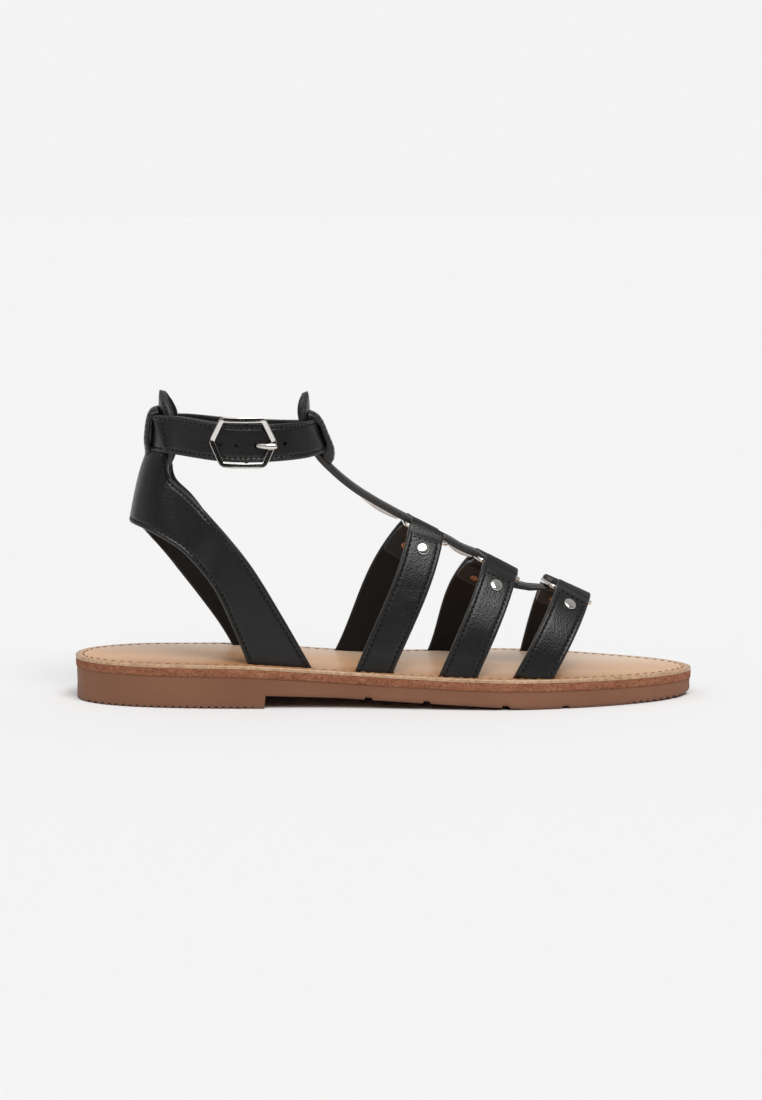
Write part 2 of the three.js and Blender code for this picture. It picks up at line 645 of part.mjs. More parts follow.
// A strap given by its outer face along the middle, like the instep strap and the keepers.
function facedStrap(rows, thick, outside) {
  const face = rows.map((row) => vector(row.x, row.y, row.z));
  const last = rows.length - 1;
  const stations = rows.map((row, i) => {
    const tangent = face[Math.min(i + 1, last)].clone().sub(face[Math.max(i - 1, 0)]).normalize();
    const across = vector(0, 1, 0).addScaledVector(tangent, -tangent.y).normalize();
    const out = across.clone().cross(tangent);
    if (out.dot(outside) < 0) out.negate();
    const at = face[i].clone().addScaledVector(out, -thick / 2);
    return { at, across, out, half: row.half, bow: row.bow, outer: thick / 2, inner: thick / 2 };
  });
  return stations;
}

const FORWARD_UP = vector(1, 0, 0.6);

// The instep strap, its front end folded up round the foremost ring's rear bar.
function instepStrap() {
  const stations = facedStrap(INSTEP, INSTEP_THICK, FORWARD_UP);
  const { across, out, point } = ringFrame(RINGS[2]);
  const reach = LOOP_BORE + FRONT_FOLD_WALL / 2;
  const half = INSTEP[INSTEP.length - 1].half;
  const thick = FRONT_FOLD_WALL / 2;
  const under = point(-RING_LENGTH / 2, 0, -reach);
  const end = point(END_LAP - RING_LENGTH / 2, 0, -reach);
  stations.push({ at: under, across, out, half, outer: thick, inner: thick });
  stations.push({ at: end, across, out, half: END_HALF, outer: thick, inner: thick });
  const fold = rod(point(-RING_LENGTH / 2, 0), across, LOOP_BORE + FRONT_FOLD_WALL, 2 * half);
  return ribbon(stations, 5).add(fold);
}

// The room round a ring's four bars.
function ringBores(ring) {
  const { along, across, point } = ringFrame(ring);
  return [LATERAL, MEDIAL].flatMap((side) => [
    rod(point(0, (side * RING_WIDTH) / 2), along, LOOP_BORE, RING_LENGTH, BORE_SIDES),
    rod(point((side * RING_LENGTH) / 2, 0), across, LOOP_BORE, RING_WIDTH, BORE_SIDES),
  ]);
}

function makeUpper() {
  const crossings = CROSS_HALVES.flatMap((half) => {
    const { along, point } = ringFrame(RINGS[half.ring]);
    const bar = point(half.slide, (half.side * RING_WIDTH) / 2);
    return [crossStrap(half), rod(bar, along, LOOP_BORE + LOOP_WALL, STRAP_TOP_WIDTH)];
  });
  const keeper = ribbon(facedStrap(FRONT_KEEPER, KEEPER_THICK, FORWARD_UP), 5);
  const whole = joined([instepStrap(), keeper, ...crossings]);
  const posts = CROSS_HALVES.map((half) => {
    const { at, out } = studPlace(half);
    return rod(at, out, STUD_POST_RADIUS + GAP, POST_BORE_LENGTH, BORE_SIDES);
  });
  const holes = [belowInsole(), ...RINGS.flatMap(ringBores), ...posts];
  return holes.reduce((cut, hole) => cut.subtract(hole), whole);
}

// ---- Studs ---------------------------------------------------------------------------------------

// The middle of a half strap, and its direction outwards, at the stud's distance from the loop.
function studPlace(half) {
  const stations = crossStations(half);
  const above = stations.findIndex((station) => station.toTop < half.stud);
  const far = stations[above - 1];
  const near = stations[above];
  const t = (far.toTop - half.stud) / (far.toTop - near.toTop);
  return { at: far.at.clone().lerp(near.at, t), out: far.out.clone().lerp(near.out, t).normalize() };
}

function makeStud(half) {
  const { at, out } = studPlace(half);
  const front = STRAP_THICK / 2 + GAP;
  const back = -STRAP_THICK / 2 - FOLD_THICK - GAP;
  const dome = [0, 30, 60, 90].map((angle) => {
    const turn = radians(angle);
    const radius = STUD_HEAD_RADIUS * Math.cos(turn);
    return new THREE.Vector2(radius, front + STUD_HEAD_HEIGHT * Math.sin(turn));
  });
  const profile = [
    new THREE.Vector2(0, back - STUD_BACK_HEIGHT),
    new THREE.Vector2(STUD_BACK_RADIUS, back - STUD_BACK_HEIGHT),
    new THREE.Vector2(STUD_BACK_RADIUS, back),
    new THREE.Vector2(STUD_POST_RADIUS, back),
    new THREE.Vector2(STUD_POST_RADIUS, front),
    ...dome,
  ];
  profile[profile.length - 1].x = 0;
  const lathe = new THREE.LatheGeometry(profile, 12).rotateX(Math.PI / 2);
  return solid(placed(lathe, at, out));
}

// ---- Heel strap ----------------------------------------------------------------------------------

// Stations across one leg of the sling, from the middle of the heel to the slot.
function legStations(rows) {
  const low = new THREE.CatmullRomCurve3(rows.map((row) => vector(row.lowX, row.lowY, row.lowZ)));
  const high = new THREE.CatmullRomCurve3(rows.map((row) => vector(row.highX, row.highY, row.highZ)));
  const bows = new THREE.SplineCurve(rows.map((row, i) => new THREE.Vector2(i, row.bow)));
  return Array.from({ length: LEG_STEPS + 1 }, (_, i) => {
    const bottom = low.getPoint(i / LEG_STEPS);
    const top = high.getPoint(i / LEG_STEPS);
    const bow = Math.max(bows.getPoint(i / LEG_STEPS).y, 0);
    return { at: bottom.clone().lerp(top, 0.5), across: top.clone().sub(bottom), bow };
  });
}

// The sling round the heel, from slot to slot. Grown, it is the cutter of both slots.
function heelSling(grown = 0) {
  const lateral = legStations(LATERAL_LEG).reverse();
  const medial = legStations(MEDIAL_LEG).slice(1);
  const line = [...lateral, ...medial];
  const last = line.length - 1;
  const sections = line.map(({ at, across, bow }, i) => {
    const tangent = line[Math.min(i + 1, last)].at.clone().sub(line[Math.max(i - 1, 0)].at);
    const out = tangent.cross(across).normalize();
    if (out.dot(vector(at.x - ANKLE.x, at.y, 0)) < 0) out.negate();
    const half = across.length() / 2 + grown;
    const thick = HEEL_THICK / 2 + grown;
    const unit = across.clone().normalize();
    const middle = at.clone().addScaledVector(out, bow - HEEL_THICK / 2);
    return { at: middle, across: unit, out, half, bow, outer: thick, inner: thick };
  });
  return ribbon([sunk(sections[0]), ...sections, sunk(sections[last])], 5);
}

function makeHeelStrap() {
  const strip = ribbon(facedStrap(BACK_STRIP, HEEL_THICK, vector(-1, 0, 0)), 9);
  const keeper = ribbon(facedStrap(BACK_KEEPER, KEEPER_THICK, vector(-1, 0, 0)), 5);
  return joined([heelSling(), strip, keeper]).subtract(belowInsole());
}

// ---- Ankle strap ---------------------------------------------------------------------------------

// The ankle loop's outer face at a turn in degrees: its middle point and its directions.
function ankleFrame(turn) {
  const round = ((turn % 360) + 360) % 360;
  const rows = [...ANKLE_RISE, { ...ANKLE_RISE[0], turn: 360 }];
  const angle = radians(round);
  const lean = radians(smooth(rows, "turn", "lean", round));
  const flat = vector(Math.cos(angle) / ANKLE.halfLength, Math.sin(angle) / ANKLE.halfWidth, 0);
  flat.normalize();
  const at = vector(
    ANKLE.x + ANKLE.halfLength * Math.cos(angle),
    ANKLE.halfWidth * Math.sin(angle),
    smooth(rows, "turn", "z", round),
  );
  const out = flat.clone().multiplyScalar(Math.cos(lean)).setZ(Math.sin(lean));
  const across = flat.clone().multiplyScalar(-Math.sin(lean)).setZ(Math.cos(lean));
  return { at, out, across, half: smooth(rows, "turn", "half", round) };
}

// The turn on the lateral side at which the loop's outer face is at x.
const lateralTurn = (x) => -THREE.MathUtils.radToDeg(Math.acos((x - ANKLE.x) / ANKLE.halfLength));

// How far the strap lies inside the full loop: the buckle end is a lap deeper until it comes out, and
// the free end stays a lap over it.
function ankleDepth(turn) {
  const under = (at) =>
    ANKLE_LAP * (1 - THREE.MathUtils.smoothstep(-at, -ANKLE_LAP_ENDS, -ANKLE_LAP_OUT));
  return turn + 360 < ANKLE_START ? under(turn + 360) - ANKLE_LAP : under(turn);
}

function makeAnkleStrap() {
  const steps = Math.round((ANKLE_START - ANKLE_END) / ANKLE_STEP);
  const thick = ANKLE_THICK / 2;
  const stations = Array.from({ length: steps + 1 }, (_, i) => {
    const turn = ANKLE_START + ((ANKLE_END - ANKLE_START) * i) / steps;
    const { at, out, across, half } = ankleFrame(turn);
    at.addScaledVector(out, -thick - ankleDepth(turn));
    return { at, across, out, half, outer: thick, inner: thick };
  });
  const tip = stations[steps];
  const onward = tip.at.clone().sub(stations[steps - 1].at).normalize();
  tip.across.addScaledVector(onward, TIP_SLANT);
  const { up, point } = buckleFrame();
  const bar = point(BAR_OFFSET, 0, -BAR_DEPTH);
  const eye = rod(bar, up, BAR_EYE, EYE_LENGTH);
  const whole = ribbon(stations).add(eye);
  const prongEye = point(BAR_OFFSET, PRONG[0].high, -BAR_DEPTH);
  const cuts = [
    rod(bar, up, BUCKLE_WIRE + GAP, 2 * EYE_LENGTH),
    rod(prongEye, up, BAR_EYE + 2 * GAP, PRONG_SLOT),
    wire(prongPoints(), PRONG_RADIUS + 2 * GAP, up, false),
    ...HOLE_X.map(strapHole),
  ];
  return cuts.reduce((cut, piece) => cut.subtract(piece), whole);
}

function strapHole(x) {
  const { at, out, across } = ankleFrame(lateralTurn(x));
  at.addScaledVector(out, -ANKLE_THICK / 2).addScaledVector(across, -HOLE_DROP);
  return rod(at, out, HOLE_RADIUS, ANKLE_THICK + GAP, BORE_SIDES);
}

// ---- Buckle --------------------------------------------------------------------------------------

// Places on and over the strap's outer face round the buckle: along it, up it and out of it.
function buckleFrame() {
  const up = ankleFrame(lateralTurn(BUCKLE_X)).across;
  const point = (along, high, over) => {
    const { at, out } = ankleFrame(lateralTurn(BUCKLE_X + along));
    return at.addScaledVector(out, over).addScaledVector(up, high);
  };
  return { up, point };
}

// A hexagonal wire, with a centre bar behind the strap on two short posts.
function makeBuckleFrame() {
  const { up, point } = buckleFrame();
  const corners = [
    { along: BUCKLE_HALF_LENGTH, high: 0 },
    { along: BUCKLE_HALF_SIDE, high: BUCKLE_HALF_HEIGHT },
    { along: -BUCKLE_HALF_SIDE, high: BUCKLE_HALF_HEIGHT },
    { along: -BUCKLE_HALF_LENGTH, high: 0 },
    { along: -BUCKLE_HALF_SIDE, high: -BUCKLE_HALF_HEIGHT },
    { along: BUCKLE_HALF_SIDE, high: -BUCKLE_HALF_HEIGHT },
  ];
  const out = ankleFrame(lateralTurn(BUCKLE_X)).out;
  const hexagon = wire(
    corners.map(({ along, high }) => point(along, high, BUCKLE_LIFT)),
    BUCKLE_WIRE,
    out,
    true,
  );
  const barPoints = [
    point(BAR_OFFSET, -BUCKLE_HALF_HEIGHT, BUCKLE_LIFT),
    point(BAR_OFFSET, -BUCKLE_HALF_HEIGHT, -BAR_DEPTH),
    point(BAR_OFFSET, BUCKLE_HALF_HEIGHT, -BAR_DEPTH),
    point(BAR_OFFSET, BUCKLE_HALF_HEIGHT, BUCKLE_LIFT),
  ];
  const sideways = up.clone().cross(out);
  return hexagon.add(wire(barPoints, BUCKLE_WIRE, sideways, false));
}

function prongPoints() {
  const { point } = buckleFrame();
  return PRONG.map(({ along, high, over }) => point(along, high, over));
}

function makeBuckleProng() {
  const { up, point } = buckleFrame();
  const eye = new THREE.TorusGeometry(PRONG_EYE_RADIUS, PRONG_EYE_TUBE, 8, 14);
  const bar = point(BAR_OFFSET, PRONG[0].high, -BAR_DEPTH);
  return solid(placed(eye, bar, up)).add(wire(prongPoints(), PRONG_RADIUS, up, false));
}

// ---- The sandal ----------------------------------------------------------------------------------

const sandal = new THREE.Group();

function addPiece(name, body, material) {
  const mesh = new THREE.Mesh(geometryOf(body), material);
  mesh.name = name;
  sandal.add(mesh);
}

addPiece("outsole", makeOutsole(), BROWN_RUBBER);
addPiece("midsole", makeMidsole(), LEATHERBOARD);
addPiece("insole", makeInsole(), TAN_LEATHER);
addPiece("upper", makeUpper(), BLACK_LEATHER);
addPiece("heel_strap", makeHeelStrap(), BLACK_LEATHER);
addPiece("ankle_strap", makeAnkleStrap(), BLACK_LEATHER);
addPiece("buckle_frame", makeBuckleFrame(), SILVER_METAL);
addPiece("buckle_prong", makeBuckleProng(), SILVER_METAL);
RINGS.forEach((ring) => addPiece(ring.name, makeRing(ring), SILVER_METAL));
CROSS_HALVES.forEach((half) => addPiece(half.name, makeStud(half), SILVER_METAL));

const box = new THREE.Box3().setFromObject(sandal);
const middle = box.getCenter(vector(0, 0, 0));
sandal.position.set(-middle.x, -middle.y, -box.min.z);

export default sandal;
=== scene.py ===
"""The looks of the gladiator sandal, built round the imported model. Sizes in this file are millimetres
in the shoe's own frame: X from the heel to the toe, Y to the inner (medial) side, Z up."""
import math

import bmesh
import bpy
import numpy as np
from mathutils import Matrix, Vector


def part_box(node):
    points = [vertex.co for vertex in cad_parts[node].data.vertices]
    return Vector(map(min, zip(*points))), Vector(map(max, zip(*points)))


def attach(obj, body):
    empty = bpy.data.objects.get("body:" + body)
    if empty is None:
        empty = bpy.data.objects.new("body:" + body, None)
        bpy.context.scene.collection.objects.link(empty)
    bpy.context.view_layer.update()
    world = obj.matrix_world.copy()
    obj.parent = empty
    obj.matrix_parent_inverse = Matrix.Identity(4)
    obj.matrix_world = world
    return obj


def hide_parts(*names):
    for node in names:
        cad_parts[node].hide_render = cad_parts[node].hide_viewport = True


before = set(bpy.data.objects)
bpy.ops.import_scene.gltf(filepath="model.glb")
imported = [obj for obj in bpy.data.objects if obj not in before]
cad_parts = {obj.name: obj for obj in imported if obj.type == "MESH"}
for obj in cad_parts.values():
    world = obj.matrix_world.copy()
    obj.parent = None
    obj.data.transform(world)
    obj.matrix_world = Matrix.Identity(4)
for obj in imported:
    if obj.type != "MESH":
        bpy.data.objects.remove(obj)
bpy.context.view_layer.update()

# ---- Sizes ---------------------------------------------------------------------------------------

RINGS = [  # centre, slope towards the toe, turn towards the big toe
    (141.8, 1.5, 67.7, 27, 3),
    (170.8, 4.5, 53.1, 28, 7),
    (200.2, 8.0, 42.2, 25, 9),
]
WIRE = 0.9
RING_LENGTH = 18.4
RING_WIDTH = 17.2
RING_CORNER = 1.6

# The shoe's frame is placed in the row's by the middle ring, whose centre is known in both.
low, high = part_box("ring_2")
SHIFT = np.array([(a + b) * 500 for a, b in zip(low, high)]) - np.array(RINGS[1][:3])

OUTLINE = [  # x, lateral and medial half widths of the insole
    (2, 11.2, 11.3), (10, 19.6, 20.0), (19, 24.3, 24.8), (31, 27.8, 27.9), (52, 30.4, 29.1),
    (70, 31.0, 29.0), (90, 30.6, 28.0), (107, 30.7, 27.9), (124, 32.0, 31.2), (140, 33.5, 36.6),
    (158, 34.8, 43.4), (174, 34.9, 47.4), (190, 32.7, 46.6), (208, 27.8, 40.4), (220, 23.1, 35.2),
    (230, 18.2, 30.6), (240, 11.4, 24.6), (247.5, 3.6, 17.0),
]
SOLE_BACK, SOLE_FRONT, TIP_Y = -1, 251.7, 6
FOOTBED = [
    (-1, 18.1), (31, 17.8), (67, 17.5), (86, 16.5), (107, 15.2), (139, 13.6), (173, 12.4),
    (208, 12.0), (230, 11.8), (251.7, 11.6),
]
HEEL_BREAST = 77.5
UNDERSIDE = [
    (-1, 0), (77.3, 0), (77.7, 5.1), (92, 4.7), (107, 4.2), (124, 3.3), (139, 2.6), (157, 1.7),
    (173, 0.8), (185, 0), (234, 0), (243, 0.4), (252, 1.5),
]
INSOLE, MIDSOLE, GAP = 1.4, 3.2, 0.3
OUTSOLE_INSET, MIDSOLE_INSET = 0.4, 0.05
CLOSED = (0.02, 0.03)  # gaps left below the midsole and below the insole
GROOVES = [119, 142.3, 173.8, 197.9]
GROOVE_WIDTH, GROOVE_DEPTH = 3.3, 0.9
RIB_PITCH, RIB_DEPTH = 2.9, 0.75

CROSS = [  # ring, side, x of the slot, slide along the ring, belly, distance of the stud
    (0, -1, 121.2, 0.5, 0.08, 11.0),
    (0, 1, 112.5, -0.8, -0.12, 11.7),
    (1, -1, 154.8, 1.2, 0.03, 14.5),
    (1, 1, 151.3, -0.8, -0.18, 14.5),
    (2, -1, 184.9, 1.3, 0.0, 13.5),
    (2, 1, 190.4, -0.8, 0.0, 13.5),
]
STRAP, BASE_WIDTH, TOP_WIDTH = 2.2, 14.4, 14.9
STRAP_INSET = 4.6
STRAP_SUNK = 8  # how far a strap is drawn down through the insole before it is cut off
FOLD_LENGTH, FOLD_THICK, FOLD_RADIUS = 19, 1.5, 2.2
BORE, LOOP_WALL, MEET_ANGLE = 1.35, 2.2, 28
LOOP_LIFT = {-1: 0.85, 1: -0.35}  # of the lateral and the medial loops
LOOP_CREASE = (4.4, 1.3, 0.4)  # the soft trough below a loop: its place, width and depth

INSTEP_THICK, EDGE_EXTRA = 1.9, 0.45
INSTEP_FOLD, INSTEP_FOLD_HALF = 1.35, 5.2  # thickness and half width round the last ring's bar
LINING_THICK, LINED = 1.3, [(116, 132), (151, 161)]
INSTEP = [
    (94.2, 0, 125.2, 2.0, 0.2), (94.7, 0, 123.7, 5.4, 1.4), (95.0, 0, 120.7, 7.6, 2.6),
    (95.2, 0, 116.8, 8.2, 3.0), (95.8, 0, 111.9, 7.6, 2.4), (97.5, 0, 105.5, 6.4, 1.4),
    (100.5, 0, 99.7, 5.8, 0.8), (105.0, 0, 94.6, 5.6, 0.4), (109.6, 0.1, 90.3, 5.6, 0.2),
    (115.0, 0.2, 86.2, 5.5, 0.2), (122.0, 0.4, 81.8, 5.5, 0.2), (129.0, 0.8, 77.8, 5.5, 0.2),
    (135.2, 1.1, 74.3, 5.3, 0), (143.2, 1.6, 69.5, 5.3, 0), (151.2, 2.2, 65.9, 5.4, 0),
    (157.4, 2.9, 62.4, 5.5, 0.2), (164.2, 3.8, 59.2, 5.3, 0), (171.2, 4.6, 53.3, 5.3, 0),
    (178.0, 5.4, 47.4, 5.4, 0), (184.6, 6.2, 45.7, 5.5, 0.2),
]
# Soft ridges and troughs: place along a strap and across it, half length, half width, slant, rise.
SLING_CREASES = [
    (60, -1, 5, 10, 0.5, -0.6), (69, 1, 5, 9, 0.6, 0.75), (80, 0, 6, 10, 0.4, -0.65),
    (94, 2, 8, 12, 0.2, 0.4), (112, -4, 7, 10, -0.3, -0.4), (160, 0, 7, 12, -0.3, -0.5),
    (190, 1, 6, 9, -0.5, 0.5),
]
ANKLE_CREASES = [
    (30, 0, 4, 6, 0.3, -0.2), (88, 0, 5, 6, 0.3, -0.25), (120, 1, 5, 6, -0.3, 0.2),
    (163, 0, 2.5, 6, 0.6, -0.22), (169, 1, 2.5, 6, 0.7, 0.22), (176, 0, 2.5, 6, 0.6, -0.22),
    (184, -1, 3, 5, 0.5, 0.15), (218, 0, 4, 6, -0.3, -0.2),
]
CROSS_CREASES = [(14, 0, 3, 7, 0.2, -0.2), (30, 1, 4, 7, -0.2, 0.2), (44, 0, 3, 7, 0.2, -0.15)]
KEEPER_THICK = 1.5
FRONT_KEEPER = [
    (104.0, 0, 96.0, 5.6, 0.4), (104.9, 0, 97.8, 5.6, 0.5), (105.2, 0, 100.2, 5.6, 0.6),
    (104.8, 0, 102.8, 5.6, 0.6), (102.7, 0, 108.0, 5.6, 0.6), (100.5, 0, 113.2, 5.6, 0.7),
    (98.8, 0, 115.6, 5.6, 0.9), (97.0, 0, 116.9, 5.6, 1.2), (95.2, 0, 117.6, 5.6, 1.4),
]
HEEL_THICK = 2.4
LATERAL_LEG = [  # lower edge, upper edge, bow
    (21.2, 0, 72.6, 29.2, 0, 102.5, 1.1), (22.0, -5.6, 72.5, 30.3, -5.4, 103.0, 1.1),
    (23.8, -10.5, 72.2, 32.4, -9.9, 103.3, 1.0), (26.6, -14.3, 71.5, 35.7, -13.2, 103.4, 0.8),
    (29.4, -17.0, 70.7, 37.8, -14.9, 97.0, 0.6), (32.3, -19.0, 69.6, 39.1, -15.4, 91.9, 0.4),
    (38.6, -22.0, 66.4, 46.0, -18.8, 85.9, 0.2), (44.9, -24.0, 62.2, 53.8, -22.5, 78.6, 0.1),
    (57.0, -25.6, 47.9, 71.0, -25.3, 58.4, 0), (65.9, -26.2, 28.8, 85.0, -26.3, 35.7, 0),
    (71.0, -26.2, 16.2, 96.2, -26.2, 15.8, 0),
]
MEDIAL_LEG = [
    (21.2, 0, 72.6, 29.2, 0, 102.5, 1.1), (21.9, 5.4, 71.9, 30.3, 5.4, 103.0, 1.1),
    (23.6, 10.0, 70.3, 32.4, 9.9, 103.3, 1.0), (25.6, 13.6, 67.6, 35.6, 13.2, 103.0, 0.8),
    (27.6, 16.0, 65.1, 37.4, 14.8, 95.6, 0.6), (29.7, 17.8, 62.5, 39.0, 15.7, 89.0, 0.4),
    (34.2, 20.8, 56.8, 45.6, 18.8, 81.6, 0.2), (38.6, 22.8, 50.9, 52.6, 22.3, 71.5, 0.1),
    (48.4, 24.8, 37.9, 66.5, 24.8, 50, 0), (56.6, 25.0, 26.5, 77.5, 24.8, 33, 0),
    (62.6, 24.8, 16.5, 86.8, 24.0, 16.1, 0),
]
BACK_STRIP = [
    (25.9, 0, 87.0, 10.5, 5.0), (27.6, 0, 94.0, 13.2, 10.4), (30.6, 0, 98.4, 13.0, 7.7),
    (32.9, 0, 101.2, 12.6, 5.6), (33.4, 0, 107.3, 12.2, 5.4), (33.6, 0, 112.3, 11.8, 5.3),
    (33.7, 0, 116.6, 11.2, 5.2), (33.8, 0, 119.8, 9.6, 3.9), (33.9, 0, 122.7, 7.2, 2.2),
    (34.1, 0, 124.7, 4.6, 0.9), (34.3, 0, 125.7, 1.8, 0.2),
]
BACK_KEEPER = [
    (27.6, 0, 93.6, 8, 2.4), (27.9, 0, 97.4, 8, 2.1), (28.1, 0, 101.2, 8, 1.7),
    (27.7, 0, 105.4, 8, 1.4), (28.0, 0, 109.6, 8, 1.3), (28.6, 0, 113.6, 8, 1.3),
    (29.5, 0, 116.6, 8, 1.4), (30.9, 0, 118.5, 7.8, 1.8), (33.4, 0, 119.5, 7.4, 2.2),
]
ANKLE_X, ANKLE_LENGTH, ANKLE_WIDTH, ANKLE_THICK = 65.6, 34.8, 29, 2.2
ANKLE_LAP = ANKLE_THICK + GAP
ANKLE_START, LAP_ENDS, LAP_OUT, ANKLE_END = 279, 226, 210, -147.5
TIP_SLANT = 0.5
ANKLE_EYE_THICK, ANKLE_EYE_HALF = 1.2, 6.5
ANKLE_RISE = [  # turn, height, lean, half width
    (0, 108.2, 21, 6.9), (45, 105.3, 12, 7.2), (90, 104.8, 5, 7.5), (135, 107.4, 5, 7.5),
    (180, 108.2, 3, 6.9), (225, 109.0, 5, 7.6), (270, 106.5, 4, 7.6), (315, 106.8, 12, 7.4),
    (360, 108.2, 21, 6.9),
]
HOLES, HOLE_RADIUS, HOLE_DROP = [60.4, 66.7, 79.4, 85.7], 0.8, 0.8
BUCKLE_X, BUCKLE_LENGTH, BUCKLE_SIDE, BUCKLE_HEIGHT = 69.2, 12.0, 8.0, 9.0
BUCKLE_LIFT, BAR_OFFSET = 1.4, 1.8
BAR_EYE = WIRE + GAP + 1.2
BAR_DEPTH = ANKLE_LAP + BAR_EYE
FRAME_WIRE, BAR_WIRE, TONGUE_WIRE, EYE_WIRE = 1.05, 0.8, 0.75, 0.65
EYE_RADIUS, TONGUE_HOLE = 1.75, 1.35
CORNER_EASE, BAR_CORNER = 1.3, 1.0
PRONG = [  # along the strap, up it, and out of it
    (1.8, -1.0, -2.9), (3.4, -1.0, -2.4), (4.9, -1.0, -1.6), (6.3, -1.1, 0.2), (7.6, -1.3, 1.8),
    (9.2, -1.5, 2.9), (12.2, -1.8, 3.4),
]

CHANNEL = 0.22  # depth of a stitched channel
STITCH_IN = 1.9  # of a strap's stitching from its edge
STITCH_PITCH = 2.1
STUD_TO_ROW = 4.6  # from a stud to the row of stitches below the loop
SEAM_START, HEEL_SEAM_START = 0.6, 18.6  # above the insole, and above the ground
INSOLE_STITCH_IN = 3.0
INSOLE_STITCH_PITCH = 3.9

# ---- Small helpers -------------------------------------------------------------------------------


def vec(*values):
    return np.array(values, dtype=float)


def unit(v):
    return v / np.maximum(np.linalg.norm(v, axis=-1, keepdims=True), 1e-12)


def hermite(xs, ys, x):
    """A smooth curve through a table, by cubic pieces whose slopes come from the neighbouring rows."""
    xs, ys, x = np.asarray(xs, float), np.asarray(ys, float), np.asarray(x, float)
    last = len(xs) - 1
    before = np.maximum(np.arange(last + 1) - 1, 0)
    after = np.minimum(np.arange(last + 1) + 1, last)
    run = (xs[after] - xs[before]).reshape((-1,) + (1,) * (ys.ndim - 1))
    slope = (ys[after] - ys[before]) / run
    i = np.clip(np.searchsorted(xs, x, side="left") - 1, 0, last - 1)
    span = xs[i + 1] - xs[i]
    t = (x - xs[i]) / span
    if ys.ndim > 1:
        t, span = t[..., None], span[..., None]
    value = ys[i] * (1 + 2 * t) * (1 - t) ** 2 + ys[i + 1] * t**2 * (3 - 2 * t)
    return value + span * t * (1 - t) * (slope[i] * (1 - t) - slope[i + 1] * t)


def arc_length(points):
    """The length of a line up to each of its points."""
    return np.concatenate([[0], np.cumsum(np.linalg.norm(np.diff(points, axis=0), axis=1))])


def at_place(place, run, table):
    """The rows of a table at places between its own."""
    return np.stack([np.interp(place, run, column) for column in table.T], -1)


def resample(rows, count):
    """A table of points and widths, drawn finer along its own length."""
    rows = np.array(rows, float)
    run = arc_length(rows[:, :3])
    return hermite(run, rows, np.linspace(0, run[-1], count))


def catmull(points, closed, per):
    """A centripetal Catmull-Rom curve through points, with so many steps for each span."""
    points = np.array(points, float)
    n = len(points)
    spans = n if closed else n - 1
    made = []
    for i in range(spans):
        p1, p2 = points[i], points[(i + 1) % n]
        p0 = points[i - 1] if closed or i > 0 else 2 * p1 - p2
        p3 = points[(i + 2) % n] if closed or i + 2 < n else 2 * p2 - p1
        d0, d1, d2 = (max(np.linalg.norm(b - a), 1e-6) ** 0.5 for a, b in ((p0, p1), (p1, p2), (p2, p3)))
        m1 = ((p1 - p0) / d0 - (p2 - p0) / (d0 + d1) + (p2 - p1) / d1) * d1
        m2 = ((p2 - p1) / d1 - (p3 - p1) / (d1 + d2) + (p3 - p2) / d2) * d1
        for t in np.arange(per) / per:
            made.append(
                p1 + m1 * t + (-3 * p1 + 3 * p2 - 2 * m1 - m2) * t**2 + (2 * p1 - 2 * p2 + m1 + m2) * t**3
            )
    if not closed:
        made.append(points[-1])
    return np.array(made)


def footbed(x):
    return hermite(*zip(*FOOTBED), x)


def ease(t):
    t = np.clip(t, 0, 1)
    return t * t * (3 - 2 * t)


# ---- Materials -----------------------------------------------------------------------------------


def colour(red, green, blue):
    """A colour given as a screen's 0 to 255, as Blender's linear values."""
    shares = (c / 255 for c in (red, green, blue))
    return [c / 12.92 if c < 0.04 else ((c + 0.055) / 1.055) ** 2.4 for c in shares] + [1]


class Nodes:
    """Makes and links the nodes of a tree."""

    def __init__(self, tree):
        self.tree = tree

    def feed(self, socket, value):
        """Gives an input its value, or links it to an output."""
        if hasattr(value, "is_linked"):
            self.tree.links.new(value, socket)
        else:
            socket.default_value = value

    def node(self, kind, **settings):
        """A node with its inputs and its other settings given by name."""
        made = self.tree.nodes.new(kind)
        for key, value in settings.items():
            socket = made.inputs.get(key.replace("_", " "))
            if socket is None:
                setattr(made, key, value)
            else:
                self.feed(socket, value)
        return made

    def ranged(self, source, start, end, low=0.0, high=1.0, kind="LINEAR"):
        """A source drawn from one range on to another."""
        return self.node(
            "ShaderNodeMapRange", interpolation_type=kind, Value=source, From_Min=start, From_Max=end,
            To_Min=low, To_Max=high,
        ).outputs[0]


